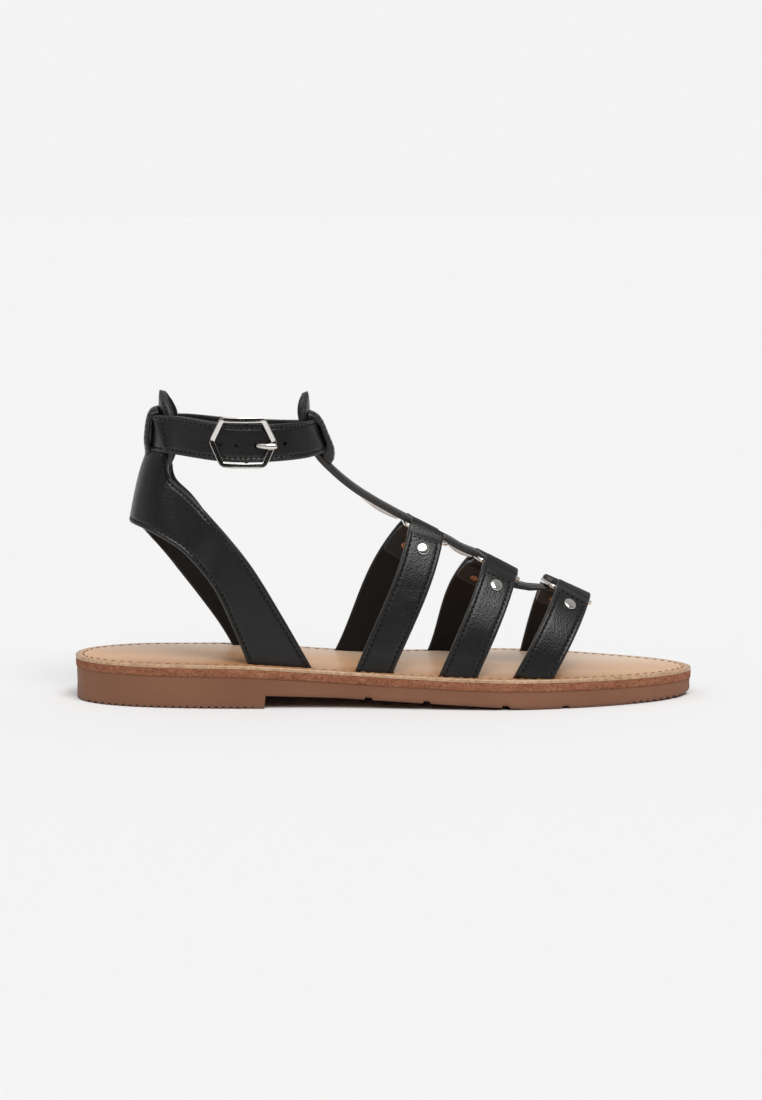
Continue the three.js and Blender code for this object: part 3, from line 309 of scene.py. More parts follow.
class Look(Nodes):
    """A Principled material, with the few node chains that the finishes here share."""

    def __init__(self, name, **constants):
        self.material = bpy.data.materials.new(name)
        self.material.use_nodes = True
        super().__init__(self.material.node_tree)
        self.shader = self.tree.nodes["Principled BSDF"]
        self.place = self.node("ShaderNodeTexCoord").outputs["Object"]
        self.wear(**constants)

    def wear(self, **sources):
        """Feeds the shader's inputs, and gives the material."""
        for key, source in sources.items():
            self.feed(self.shader.inputs[key.replace("_", " ")], source)
        return self.material

    def noise(self, size, detail=3.0, rough=0.55, stretch=(1, 1, 1)):
        """Noise whose features are about this many millimetres across."""
        scale = [1000 / size / s for s in stretch]
        scaled = self.node("ShaderNodeMapping", Vector=self.place, Scale=scale).outputs[0]
        return self.node(
            "ShaderNodeTexNoise", Vector=scaled, Scale=1.0, Detail=detail, Roughness=rough
        ).outputs[0]

    def cells(self, size):
        return self.node("ShaderNodeTexVoronoi", Vector=self.place, Scale=1000 / size).outputs["Distance"]

    def ramp(self, source, *stops):
        made = self.node("ShaderNodeValToRGB")
        bar = made.color_ramp
        while len(bar.elements) < len(stops):
            bar.elements.new(0.5)
        for element, (at, shade) in zip(bar.elements, stops):
            element.position = at
            element.color = shade
        self.feed(made.inputs[0], source)
        return made.outputs[0]

    def between(self, source, dark, light):
        """Two colours shared out by a noise."""
        return self.ramp(source, (0.3, dark), (0.7, light))

    def mix(self, share, first, second, blend="MIX"):
        made = self.node("ShaderNodeMix", data_type="RGBA", blend_type=blend)
        for index, value in ((0, share), (6, first), (7, second)):
            self.feed(made.inputs[index], value)
        return made.outputs[2]

    def edged(self, shade, edge):
        """A colour that turns into another by the edge share: rubbed or raw edges, a painted highlight
        on a strap's end faces, and the sole unit's darker band at the ground.
        """
        edge_share = self.node("ShaderNodeAttribute", attribute_name="edge").outputs["Fac"]
        return self.mix(edge_share, shade, edge)

    def sideways(self, start, end):
        """A share which grows from 0 to 1 between two places across the shoe."""
        across = self.node("ShaderNodeSeparateXYZ", Vector=self.place).outputs[1]
        start, end = ((SHIFT[1] + y) / 1000 for y in (start, end))
        return self.ranged(across, start, end, kind="SMOOTHSTEP")

    def spread(self, source, low, high):
        """A noise's usual range drawn on to another."""
        return self.ranged(source, 0.25, 0.75, low, high)

    def bumps(self, *layers):
        """Bumps laid on each other: (source, height in millimetres, strength)."""
        last = None
        for source, height, strength in layers:
            made = self.node("ShaderNodeBump", Strength=strength, Distance=height / 1000, Height=source)
            if last:
                self.feed(made.inputs["Normal"], last)
            last = made.outputs[0]
        self.wear(Normal=last)


def leather_look(name, dark, light, rough):
    look = Look(name, Specular_IOR_Level=0.45)
    fine = look.noise(0.45, 4)
    shade = look.ramp(look.noise(26, 2), (0.3, dark), (0.75, light))
    look.bumps((look.noise(12, 2), 0.12, 0.3), (look.cells(0.62), 0.11, 0.8), (fine, 0.03, 0.5))
    return look.wear(
        Base_Color=look.edged(shade, colour(58, 54, 51)),
        Roughness=look.spread(fine, rough - 0.06, rough + 0.1),
    )


BLACK = leather_look("black_leather", colour(12, 11, 10), colour(21, 19, 18), 0.31)


def lining_look(name, dark, light, rough=0.75):
    look = Look(name, Specular_IOR_Level=0.3)
    shade = look.between(look.noise(6, 4, 0.65), dark, light)
    look.bumps((look.noise(1.1, 4), 0.12, 0.7), (look.noise(12, 2), 0.3, 0.4))
    return look.wear(Base_Color=shade, Roughness=look.spread(look.noise(2), rough - 0.1, rough + 0.1))


LINING = lining_look("dark_lining", colour(5, 5, 4), colour(12, 10, 8), 0.55)
PALE_LINING = lining_look("pale_lining", colour(176, 167, 160), colour(203, 195, 188))


def thread_look(name, dark, light):
    look = Look(name, Roughness=0.85, Specular_IOR_Level=0.15)
    shade = look.between(look.noise(0.5, 2), dark, light)
    look.bumps((look.noise(0.25, 2), 0.05, 0.6))
    return look.wear(Base_Color=shade)


BLACK_THREAD = thread_look("black_thread", colour(9, 9, 9), colour(20, 19, 18))
TAN_THREAD = thread_look("tan_thread", colour(120, 86, 56), colour(158, 120, 84))


def insole_look():
    look = Look("tan_leather", Specular_IOR_Level=0.5, Coat_Weight=0.45, Coat_Roughness=0.25)
    cloud = look.noise(34, 3)
    # Painted shade: the near side darker and more saturated. Painted sheen: the far side pale.
    near_painted_shade = look.between(cloud, colour(188, 128, 78), colour(200, 142, 92))
    middle = look.between(cloud, colour(221, 171, 127), colour(230, 184, 142))
    shade = look.mix(look.sideways(-30, -8), near_painted_shade, middle)
    shade = look.mix(look.sideways(-4, 30), shade, colour(242, 212, 186))
    edge = look.between(look.noise(1.6, 4), colour(160, 120, 86), colour(206, 170, 134))
    look.bumps((look.cells(0.7), 0.03, 0.35), (look.noise(5, 3), 0.1, 0.4), (look.noise(0.5, 3), 0.03, 0.5))
    return look.wear(
        Base_Color=look.edged(shade, edge),
        Roughness=look.spread(look.noise(3, 3), 0.38, 0.52),
    )


def board_look():
    look = Look("leatherboard", Specular_IOR_Level=0.3)
    mottle = look.noise(3.2, 6, 0.75, (1.6, 1.6, 0.7))
    shade = look.ramp(
        mottle, (0.25, colour(112, 63, 40)), (0.42, colour(150, 94, 66)), (0.58, colour(167, 111, 81)),
        (0.8, colour(192, 141, 108)),
    )
    speck = look.ramp(look.noise(0.6, 3, 0.7), (0.42, colour(95, 54, 38)), (0.52, colour(255, 255, 255)))
    flecked = look.mix(0.55, shade, speck, "MULTIPLY")
    look.bumps((look.noise(1.3, 6, 0.7), 0.35, 0.8), (look.noise(0.3, 3), 0.06, 0.7))
    return look.wear(Base_Color=flecked, Roughness=look.spread(mottle, 0.78, 0.95))


def rubber_look():
    look = Look("brown_rubber", Specular_IOR_Level=0.35)
    shade = look.between(look.noise(40, 4), colour(124, 82, 58), colour(137, 93, 69))
    # The colour grows darker towards the ground, by the edge share.
    darkened_low = look.edged(shade, colour(112, 77, 60))
    look.bumps((look.noise(0.5, 3), 0.03, 0.5), (look.noise(7, 2), 0.15, 0.35))
    return look.wear(Base_Color=darkened_low, Roughness=look.spread(look.noise(2.5, 3), 0.52, 0.68))


def metal_look(name, shade, rough):
    look = Look(name, Metallic=1.0)
    tint = look.between(look.noise(4, 3), [c * 0.9 for c in shade[:3]] + [1], shade)
    look.bumps((look.noise(1.5, 2), 0.02, 0.25))
    return look.wear(Base_Color=tint, Roughness=look.spread(look.noise(0.8, 4), rough - 0.03, rough + 0.06))


TAN = insole_look()
BOARD = board_look()
RUBBER = rubber_look()
SILVER = metal_look("polished_silver", colour(232, 228, 222), 0.1)
COPPER = metal_look("copper_rivet", colour(168, 118, 92), 0.3)

# ---- Building meshes -----------------------------------------------------------------------------

SMOOTH_BELOW = math.radians(42)
STRAP_SHARP = math.radians(60)


def add_object(name, data):
    made = bpy.data.objects.new(name, data)
    bpy.context.scene.collection.objects.link(made)
    return made


def new_mesh(name, verts, faces):
    """A mesh from millimetres in the shoe's frame."""
    mesh = bpy.data.meshes.new(name)
    place = (np.asarray(verts) + SHIFT) / 1000
    mesh.from_pydata(place.tolist(), [], [list(map(int, f)) for f in faces])
    return mesh


def add_piece(name, verts, faces, materials, slot, nodes=(), picks=None, edge=None, sharp=SMOOTH_BELOW):
    """A mesh piece from millimetres in the shoe's frame. picks gives each face's material, and edge
    each vertex's share of the edge colour: rubbed or raw edges, a painted highlight on a strap's end
    faces, and the sole unit's darker band at the ground."""
    mesh = new_mesh(name, verts, faces)
    mesh.validate()
    for material in materials:
        mesh.materials.append(material)
    if picks is not None:
        mesh.polygons.foreach_set("material_index", np.asarray(picks, dtype=np.int32))
    layer = mesh.attributes.new("edge", "FLOAT", "POINT")
    layer.data.foreach_set("value", np.zeros(len(verts)) if edge is None else np.asarray(edge, float))
    mesh.shade_smooth()
    mesh.set_sharp_from_angle(angle=sharp)
    piece = add_object(name, mesh)
    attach(piece, "root")
    if nodes:
        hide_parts(*nodes)
    return piece


def outward(verts, faces):
    """The faces turned so that the closed solid's volume is positive."""
    v = np.asarray(verts)
    volume = 0.0
    for f in faces:
        for k in range(1, len(f) - 1):
            volume += np.dot(v[f[0]], np.cross(v[f[k]], v[f[k + 1]]))
    return faces if volume > 0 else [tuple(reversed(f)) for f in faces]


def ring_faces(first, second, count):
    """The quads between two closed rings of vertices, each given by the number it starts at."""
    pairs = [(k, (k + 1) % count) for k in range(count)]
    return [(first + k, first + m, second + m, second + k) for k, m in pairs]


def tube(points, radius, closed, sides, squash, normal, taper=None, square=1.0):
    """Vertices and faces of a wire along points. squash flattens it along its normal, and a square
    below 1 gives it flat faces with rounded corners."""
    points = np.asarray(points, float)
    n = len(points)
    if closed:
        along = unit(np.roll(points, -1, 0) - np.roll(points, 1, 0))
    else:
        along = unit(np.gradient(points, axis=0))
    side = unit(np.cross(np.tile(normal, (n, 1)), along))
    up = unit(np.cross(along, side))
    turn = np.linspace(0, 2 * np.pi, sides, endpoint=False)
    size = np.full(n, radius) if taper is None else radius * np.asarray(taper)
    wide = np.sign(np.cos(turn)) * np.abs(np.cos(turn)) ** square
    tall = np.sign(np.sin(turn)) * np.abs(np.sin(turn)) ** square * squash
    ring = wide[None, :, None] * side[:, None, :] + tall[None, :, None] * up[:, None, :]
    verts = (points[:, None, :] + ring * size[:, None, None]).reshape(-1, 3)
    faces = []
    for i in range(n if closed else n - 1):
        faces += ring_faces(i * sides, (i + 1) % n * sides, sides)
    if not closed:
        faces.append(tuple(range(sides)))
        faces.append(tuple((n - 1) * sides + k for k in reversed(range(sides))))
    return verts, outward(verts, faces)


def together(*parts):
    verts, faces, base = [], [], 0
    for v, f in parts:
        verts.append(np.asarray(v))
        faces += [tuple(i + base for i in face) for face in f]
        base += len(v)
    return np.concatenate(verts), faces


def stitches(line, normals, pitch, length, radius, sink=0.0):
    """A row of short threads along a line, each dipping into the leather at both ends."""
    run = arc_length(line)
    count = max(int(run[-1] / pitch), 1)
    parts = []
    for middle in (np.arange(count) + 0.5) * run[-1] / count:
        steps = middle + length * np.linspace(-0.5, 0.5, 7)
        at = at_place(steps, run, line)
        out = unit(at_place(steps, run, normals))
        rise = np.cos(np.linspace(-1, 1, 7) * np.pi / 2)[:, None]
        at = at + out * (radius * (1.2 * rise - 0.7) - sink)
        taper = [0.35, 0.85, 1, 1, 1, 0.85, 0.35]
        parts.append(tube(at, radius, False, 6, 1.0, out[3], taper))
    return together(*parts)


# ---- Straps --------------------------------------------------------------------------------------

FIXED = np.array([0, 0.1, 0.28, 0.55, 0.9, 1.25, 1.55, 1.75, 1.9, 2.05, 2.25, 2.6, 3.3])
MIDDLES = 5


class Strap:
    """A strap through stations: its middle points, directions across and out, half widths, bows and
    thicknesses. Its outer face has rolled edges and a stitched channel along each of them."""

    def __init__(
        self, at, across, out, half, bow, outer, inner, channel=0.3, roll=0.75, crown=0.12, pale=None,
        creases=(),
    ):
        n = len(at)
        self.at, self.across, self.out = at, across, out
        self.half = np.broadcast_to(half, n).astype(float)
        self.bow = np.maximum(np.broadcast_to(bow, n), 1e-3)
        self.outer = np.broadcast_to(outer, n).astype(float)
        self.inner = np.broadcast_to(inner, n).astype(float)
        self.channel = np.broadcast_to(channel, n).astype(float)
        self.roll, self.crown, self.creases = roll, crown, creases
        self.run = arc_length(at)
        self.bend = 2 * np.arctan(self.bow / self.half)
        self.pale = np.zeros(n, bool) if pale is None else pale  # where the strap is pale lining
        reach = np.minimum(FIXED[-1], self.half * 0.8)
        left = -self.half[:, None] + reach[:, None] * (FIXED / FIXED[-1])[None, :]
        share = np.linspace(-1, 1, MIDDLES + 2)[1:-1]
        middle = (self.half - reach)[:, None] * share[None, :]
        self.v = np.concatenate([left, middle, -left[:, ::-1]], axis=1)

    def height(self, v, faceside):
        """Distance of a face from the middle surface at v across."""
        u = np.maximum(self.half[:, None] - np.abs(v), 0)
        total = self.outer + self.inner
        roll = np.minimum(self.roll, total * 0.42)[:, None]
        edge = np.maximum(roll - u, 0)
        rounding = roll - np.sqrt(np.maximum(roll**2 - edge**2, 0))
        if faceside > 0:
            trough = self.channel[:, None] * np.exp(-(((u - STITCH_IN) / 0.38) ** 2))
            bulge = self.crown * (1 - (v / np.maximum(self.half[:, None], 1e-6)) ** 2)
            lip = 0.1 * np.exp(-(((u - 0.95) / 0.4) ** 2)) * (self.channel[:, None] > 0)
            soft = np.zeros_like(v)
            for place, middle, long, wide, slant, rise in self.creases:
                away = (self.run[:, None] - place - slant * (v - middle)) / long
                soft = soft + rise * np.exp(-(away**2) - ((v - middle) / wide) ** 2)
            return self.outer[:, None] - rounding - trough + bulge * 0.6 + lip - self.crown * 0.3 + soft
        return -(self.inner[:, None] - rounding * 0.7)

    def surface(self, v, h):
        """Points at v across and h out of the middle surface, on the strap's arc."""
        radius = (self.half / np.sin(self.bend))[:, None]
        turn = self.bend[:, None] * v / self.half[:, None]
        base = self.at[:, None, :] - self.out[:, None, :] * radius[..., None]
        reach = radius + h
        return (
            base
            + self.out[:, None, :] * (reach * np.cos(turn))[..., None]
            + self.across[:, None, :] * (reach * np.sin(turn))[..., None]
        )

    def mesh(self):
        """Vertices, faces, each face's material (0 outside, 1 lining, 2 pale) and the edge share: rubbed
        edges, and a painted highlight on the end faces.
        """
        front = self.surface(self.v, self.height(self.v, 1))
        back = self.surface(self.v, self.height(self.v, -1))[:, ::-1]
        rings = np.concatenate([front, back], axis=1)
        n, m = rings.shape[:2]
        half = m // 2
        faces, picks = [], []
        lined = [1 if half + 4 <= j < m - 5 else 0 for j in range(m)]
        for i in range(n - 1):
            faces += ring_faces(i * m, (i + 1) * m, m)
            picks += [2] * m if self.pale[i] else lined
        for base, turned in ((0, True), ((n - 1) * m, False)):
            for j in range(half - 1):
                quad = (base + j, base + j + 1, base + m - 2 - j, base + m - 1 - j)
                faces.append(tuple(reversed(quad)) if turned else quad)
                picks.append(0)
        verts = rings.reshape(-1, 3)
        turned = outward(verts, faces)
        u = np.maximum(self.half[:, None] - np.abs(self.v), 0)
        edge_share = 0.6 * np.exp(-((u / 0.45) ** 2))
        # Both end faces are painted light all over, as a painted highlight on the cut ends.
        edge_share[-1] = edge_share[0] = 0.8
        edge = np.concatenate([edge_share, edge_share[:, ::-1] * 0.8], axis=1).reshape(-1)
        return verts, turned, picks, edge

    def seam(self, side, first, last, inset):
        """The stitch line along one edge, as points and directions out."""
        v = (side * (self.half - np.minimum(inset, self.half * 0.6)))[:, None]
        h = self.height(v, 1)
        line = self.surface(v, h)[:, 0]
        turn = (self.bend * v[:, 0] / self.half)[:, None]
        out = unit(self.out * np.cos(turn) + self.across * np.sin(turn))
        return line[first:last], out[first:last]

    def seams(self, first, last, inset=STITCH_IN, above=-1):
        """The stitch lines along both edges, from a level up."""
        rows = []
        for side in (-1, 1):
            line, out = self.seam(side, first, last, inset)
            shown = line[:, 2] > above
            rows.append((line[shown], out[shown]))
        return rows

    def row(self, i, start, end, steps=30):
        """A stitch line across the strap at a station."""
        v = np.zeros((len(self.half), steps)) + np.linspace(start, end, steps)[None, :]
        line = self.surface(v, self.height(v, 1))[i]
        return line, np.tile(self.out[i], (steps, 1))


def frames(points, across, toward):
    """Directions along, across and out at each point. out is on the side of toward."""
    tangent = np.empty_like(points)
    tangent[1:-1] = points[2:] - points[:-2]
    tangent[0], tangent[-1] = points[1] - points[0], points[-1] - points[-2]
    tangent = unit(tangent)
    across = unit(across - tangent * np.sum(across * tangent, 1, keepdims=True))
    out = np.cross(across, tangent)
    turned = np.sum(out * toward, 1, keepdims=True) < 0
    return across, unit(np.where(turned, -out, out))


def add_strap(name, strap, nodes=(), foot=None):
    """A strap as a piece. foot is a place where it goes through the insole: it is cut off below."""
    verts, faces, picks, edge = strap.mesh()
    materials = [BLACK, LINING, PALE_LINING]
    piece = add_piece(name, verts, faces, materials, "black_leather", nodes, picks, edge, STRAP_SHARP)
    if foot is not None:
        level = float(footbed(foot[0])) - INSOLE + 0.05
        rise = (float(footbed(foot[0] + 1)) - float(footbed(foot[0] - 1))) / 2
        shaped = bmesh.new()
        shaped.from_mesh(piece.data)
        middle = (vec(foot[0], 0, level) + SHIFT) / 1000
        everything = [*shaped.verts, *shaped.edges, *shaped.faces]
        made = bmesh.ops.bisect_plane(
            shaped, geom=everything, plane_co=middle, plane_no=(-rise, 0, 1), clear_inner=True
        )
        rim = [e for e in made["geom_cut"] if isinstance(e, bmesh.types.BMEdge)]
        bmesh.ops.holes_fill(shaped, edges=rim, sides=0)
        shaped.to_mesh(piece.data)
        shaped.free()
    return piece


def add_stitches(
    name, rows, look=BLACK_THREAD, slot="black_leather", pitch=STITCH_PITCH, length=1.45, radius=0.23,
    sink=0.0,
):
    parts = [stitches(line, out, pitch, length, radius, sink) for line, out in rows]
    add_piece(name, *together(*parts), [look], slot)


# ---- Sole ----------------------------------------------------------------------------------------

SIDE_STEPS = 560


def side_outline():
    """The insole's outline as two rows of points from the back to the tip, with normals inwards."""
    lateral = [(x, -a) for x, a, b in OUTLINE]
    medial = [(x, b) for x, a, b in reversed(OUTLINE)]
    whole = catmull([(SOLE_BACK, 0), *lateral, (SOLE_FRONT, TIP_Y), *medial], True, 60)
    tip = 60 * (len(OUTLINE) + 1)
    first, second = whole[: tip + 1], np.concatenate([whole[tip:], whole[:1]])[::-1]
    sides = []
    for line in (first, second):
        run = arc_length(line)
        sides.append(at_place(np.linspace(0, run[-1], SIDE_STEPS + 1), run, line))
    loop = np.concatenate([sides[0], sides[1][-2:0:-1]])
    along = unit(np.roll(loop, -1, 0) - np.roll(loop, 1, 0))
    inward = np.stack([-along[:, 1], along[:, 0]], 1)
    return loop, inward


LOOP, INWARD = side_outline()
LOOP_COUNT = len(LOOP)


def plate(name, inset, top, bottom, rims, wall, look, slot, node, edge_of):
    """A layer of the sole. rims are the distances of its rings from the edge, and wall the levels of
    its side: (share of the height from the bottom, distance outwards)."""
    middles = 12

    def face(surface):
        rings = []
        for d in rims:
            xy = LOOP + INWARD * (inset + d)
            rings.append(np.column_stack([xy, surface(xy[:, 0], xy[:, 1], d)]))
        inner = rings[-1]
        ladder = []
        for i in range(1, SIDE_STEPS):
            a, b = inner[i], inner[LOOP_COUNT - i]
            share = np.linspace(0, 1, middles + 2)[1:-1, None]
            xy = a[None, :2] * (1 - share) + b[None, :2] * share
            ladder.append(np.column_stack([xy, surface(xy[:, 0], xy[:, 1], 99.0)]))
        return np.concatenate(rings + ladder)

    def face_faces(base):
        made = []
        for r in range(len(rims) - 1):
            made += ring_faces(base + r * LOOP_COUNT, base + (r + 1) * LOOP_COUNT, LOOP_COUNT)
        ring = base + (len(rims) - 1) * LOOP_COUNT
        inside = base + len(rims) * LOOP_COUNT

        def column(i):
            if i in (0, SIDE_STEPS):
                return [ring + i]
            row = inside + (i - 1) * middles
            return [ring + i, *range(row, row + middles), ring + LOOP_COUNT - i]

        for i in range(SIDE_STEPS):
            a, b = column(i), column(i + 1)
            if len(a) == 1:
                made += [(a[0], b[k], b[k + 1]) for k in range(len(b) - 1)]
            elif len(b) == 1:
                made += [(a[k], b[0], a[k + 1]) for k in range(len(a) - 1)]
            else:
                made += [(a[k], b[k], b[k + 1], a[k + 1]) for k in range(len(a) - 1)]
        return made

    over, under = face(top), face(bottom)
    count = len(over)
    verts = [over, under]
    faces = face_faces(0)
    faces += [tuple(reversed(f)) for f in face_faces(count)]
    levels = []
    base = 2 * count
    for share, push in wall:
        xy = LOOP + INWARD * (inset - push)
        z = under[:LOOP_COUNT, 2] * (1 - share) + over[:LOOP_COUNT, 2] * share
        verts.append(np.column_stack([xy, z]))
        levels.append(base)
        base += LOOP_COUNT
    stack = [0, *levels, count]
    for a, b in zip(stack, stack[1:]):
        faces += [quad[2:] + quad[:2] for quad in ring_faces(b, a, LOOP_COUNT)]
    verts = np.concatenate(verts)
    return add_piece(
        name, verts, outward(verts, faces), [look], slot, [node], edge=edge_of(verts, count)
    )


def rounded(d, radius):
    gap = np.maximum(radius - d, 0)
    return radius - np.sqrt(np.maximum(radius**2 - gap**2, 0))


def waves(x, y, size, seed):
    """Gentle unevenness, about one unit high, with features of this size."""
    rng = np.random.default_rng(seed)
    total = 0
    for _ in range(5):
        a, b, c = rng.uniform(-1, 1, 3)
        total = total + np.sin((a * x + b * y) * 2 * np.pi / size + 6 * c)
    return total / 5


def insole_top(x, y, d):
    groove = 0.28 * np.exp(-(((d - INSOLE_STITCH_IN) / 0.42) ** 2))
    return footbed(x) - rounded(d, 0.45) - groove + 0.06 * waves(x, y, 30, 3)


def insole_bottom(x, y, d):
    return footbed(x) - INSOLE


def ribs(x):
    """Depth of the fine ribs under the heel and the toe."""
    heel = ease((x - 3) / 3) * ease((HEEL_BREAST - 3 - x) / 3)
    toe = ease((x - 222) / 3) * ease((247 - x) / 4)
    notch = ease((np.cos(2 * np.pi * x / RIB_PITCH) - 0.1) / 0.7)
    return RIB_DEPTH * (heel + toe) * notch


def outsole_bottom(x, y, d):
    z = np.interp(x, *zip(*UNDERSIDE)) + ribs(x)
    for at in GROOVES:
        z = z + GROOVE_DEPTH * ease((GROOVE_WIDTH / 2 - np.abs(x - at)) / (GROOVE_DEPTH / 2))
    edge = np.interp(x, [-1, 70, 110, 252], [0.7, 0.7, 1.5, 1.5])
    return z + edge - np.sqrt(np.maximum(edge**2 - np.maximum(edge - d, 0) ** 2, 0))


def low_edge(verts, count):
    """How much darker the sole unit is coloured: most at the ground."""
    return 0.6 * np.clip(1 - verts[:, 2] / 3.0, 0, 1)


MIDSOLE_LOW = INSOLE + GAP + MIDSOLE
plate(
    "sole_unit", OUTSOLE_INSET, lambda x, y, d: footbed(x) - MIDSOLE_LOW - CLOSED[0], outsole_bottom,
    [0, 0.15, 0.4, 0.75, 1.1, 1.6, 3, 5, 7], [(0.97, 0), (0.5, -0.12), (0.1, 0)], RUBBER, "rubber",
    "outsole", low_edge,
)
plate(
    "midsole_board", MIDSOLE_INSET, lambda x, y, d: footbed(x) - INSOLE - CLOSED[1] - rounded(d, 0.25),
    lambda x, y, d: footbed(x) - MIDSOLE_LOW + rounded(d, 0.5), [0, 0.12, 0.35, 0.6, 3, 7],
    [(0.85, 0.03), (0.6, 0.05), (0.3, 0.03)], BOARD, "leatherboard", "midsole",
    lambda verts, count: None,
)


def raw_edge(verts, count):
    """How far the insole's raw edge shows: all of its side, and a band along the top."""
    edge = np.ones(len(verts))
    shares = [1, 1, 0.95, 0.8, 0.55, 0.4, 0.3, 0.2, 0.1, 0.03]
    for k, share in enumerate(shares):
        edge[k * LOOP_COUNT : (k + 1) * LOOP_COUNT] = share
    edge[len(shares) * LOOP_COUNT : count] = 0
    return edge


insole = plate(
    "insole_sheet", 0, insole_top, insole_bottom,
    [0, 0.12, 0.3, 0.7, 1.5, 2.2, 2.6, 3.0, 3.4, 3.9, 5, 7.5], [(0.66, 0.04), (0.33, 0.04)], TAN,
    "insole_leather", "insole", raw_edge,
)
seam_xy = LOOP + INWARD * INSOLE_STITCH_IN
seam_line = np.column_stack([seam_xy, insole_top(seam_xy[:, 0], seam_xy[:, 1], INSOLE_STITCH_IN)])
seam_line = np.concatenate([seam_line, seam_line[:1]])
add_stitches(
    "insole_stitching", [(seam_line, np.tile(vec(0, 0, 1), (LOOP_COUNT + 1, 1)))],
    TAN_THREAD, "insole_leather", INSOLE_STITCH_PITCH, 2.7, 0.3, -0.05,
)

# ---- Rings ---------------------------------------------------------------------------------------


def ring_frame(index):
    x, y, z, slope, turn = RINGS[index]
    slope, turn = math.radians(slope), math.radians(turn)
    along = vec(math.cos(slope) * math.cos(turn), math.cos(slope) * math.sin(turn), -math.sin(slope))
    across = vec(-math.sin(turn), math.cos(turn), 0)
    return vec(x, y, z), along, across, np.cross(along, across)


for index in range(len(RINGS)):
    centre, along, across, out = ring_frame(index)
    points = []
    for u, v, start in ((1, 1, 0), (-1, 1, 90), (-1, -1, 180), (1, -1, 270)):
        for bend in np.linspace(0, 90, 9):
            angle = math.radians(start + bend)
            points.append(
                centre
                + along * (u * (RING_LENGTH / 2 - RING_CORNER) + RING_CORNER * math.cos(angle))
                + across * (v * (RING_WIDTH / 2 - RING_CORNER) + RING_CORNER * math.sin(angle))
            )
    wire = tube(points, WIRE, True, 16, 1.0, out)
    add_piece(f"ring_{index + 1}_wire", *wire, [SILVER], "silver_metal", [f"ring_{index + 1}"])

# ---- Cross straps --------------------------------------------------------------------------------

STEPS = 46
STATIONS = np.arange(STEPS + 1)
SIDE_WORDS = {-1: "lateral", 1: "medial"}


def edge_y(x, side):
    return side * float(hermite([r[0] for r in OUTLINE], [r[1 if side < 0 else 2] for r in OUTLINE], x))


def cross_middle(ring, side, slot_x, slide, belly):
    """The middle line of half a cross strap, from its slot to its loop, with its directions."""
    centre, along, across, _ = ring_frame(ring)
    bar = centre + along * slide + across * side * RING_WIDTH / 2
    meet = math.radians(MEET_ANGLE)
    reach = BORE + LOOP_WALL / 2 + LOOP_LIFT[side]
    top = bar + vec(0, side * reach * math.sin(meet), reach * math.cos(meet))
    foot = vec(slot_x, edge_y(slot_x, side) - side * STRAP_INSET, float(footbed(slot_x)))
    spread = abs(foot[1] - centre[1])
    top_angle = math.acos(abs(top[1] - centre[1]) / spread)
    rise = (top[2] - foot[2]) / math.sin(top_angle)
    angle = top_angle * STATIONS / STEPS
    up = np.sin(angle) / math.sin(top_angle)
    lean = up + belly * np.sin(np.pi * up**1.5)
    middle = np.column_stack([
        foot[0] + (top[0] - foot[0]) * lean,
        centre[1] + side * spread * np.cos(angle),
        foot[2] + rise * np.sin(angle),
    ])
    tilt = math.atan2(top[0] - foot[0], top[2] - foot[2])
    share = (STATIONS / STEPS)[:, None]
    wide = vec(math.cos(tilt), 0, -math.sin(tilt)) * (1 - share**2) + along * share**2
    across, out = frames(middle, wide, np.tile(vec(0, side, 0.4), (STEPS + 1, 1)))
    return middle, across, out, bar, along, top


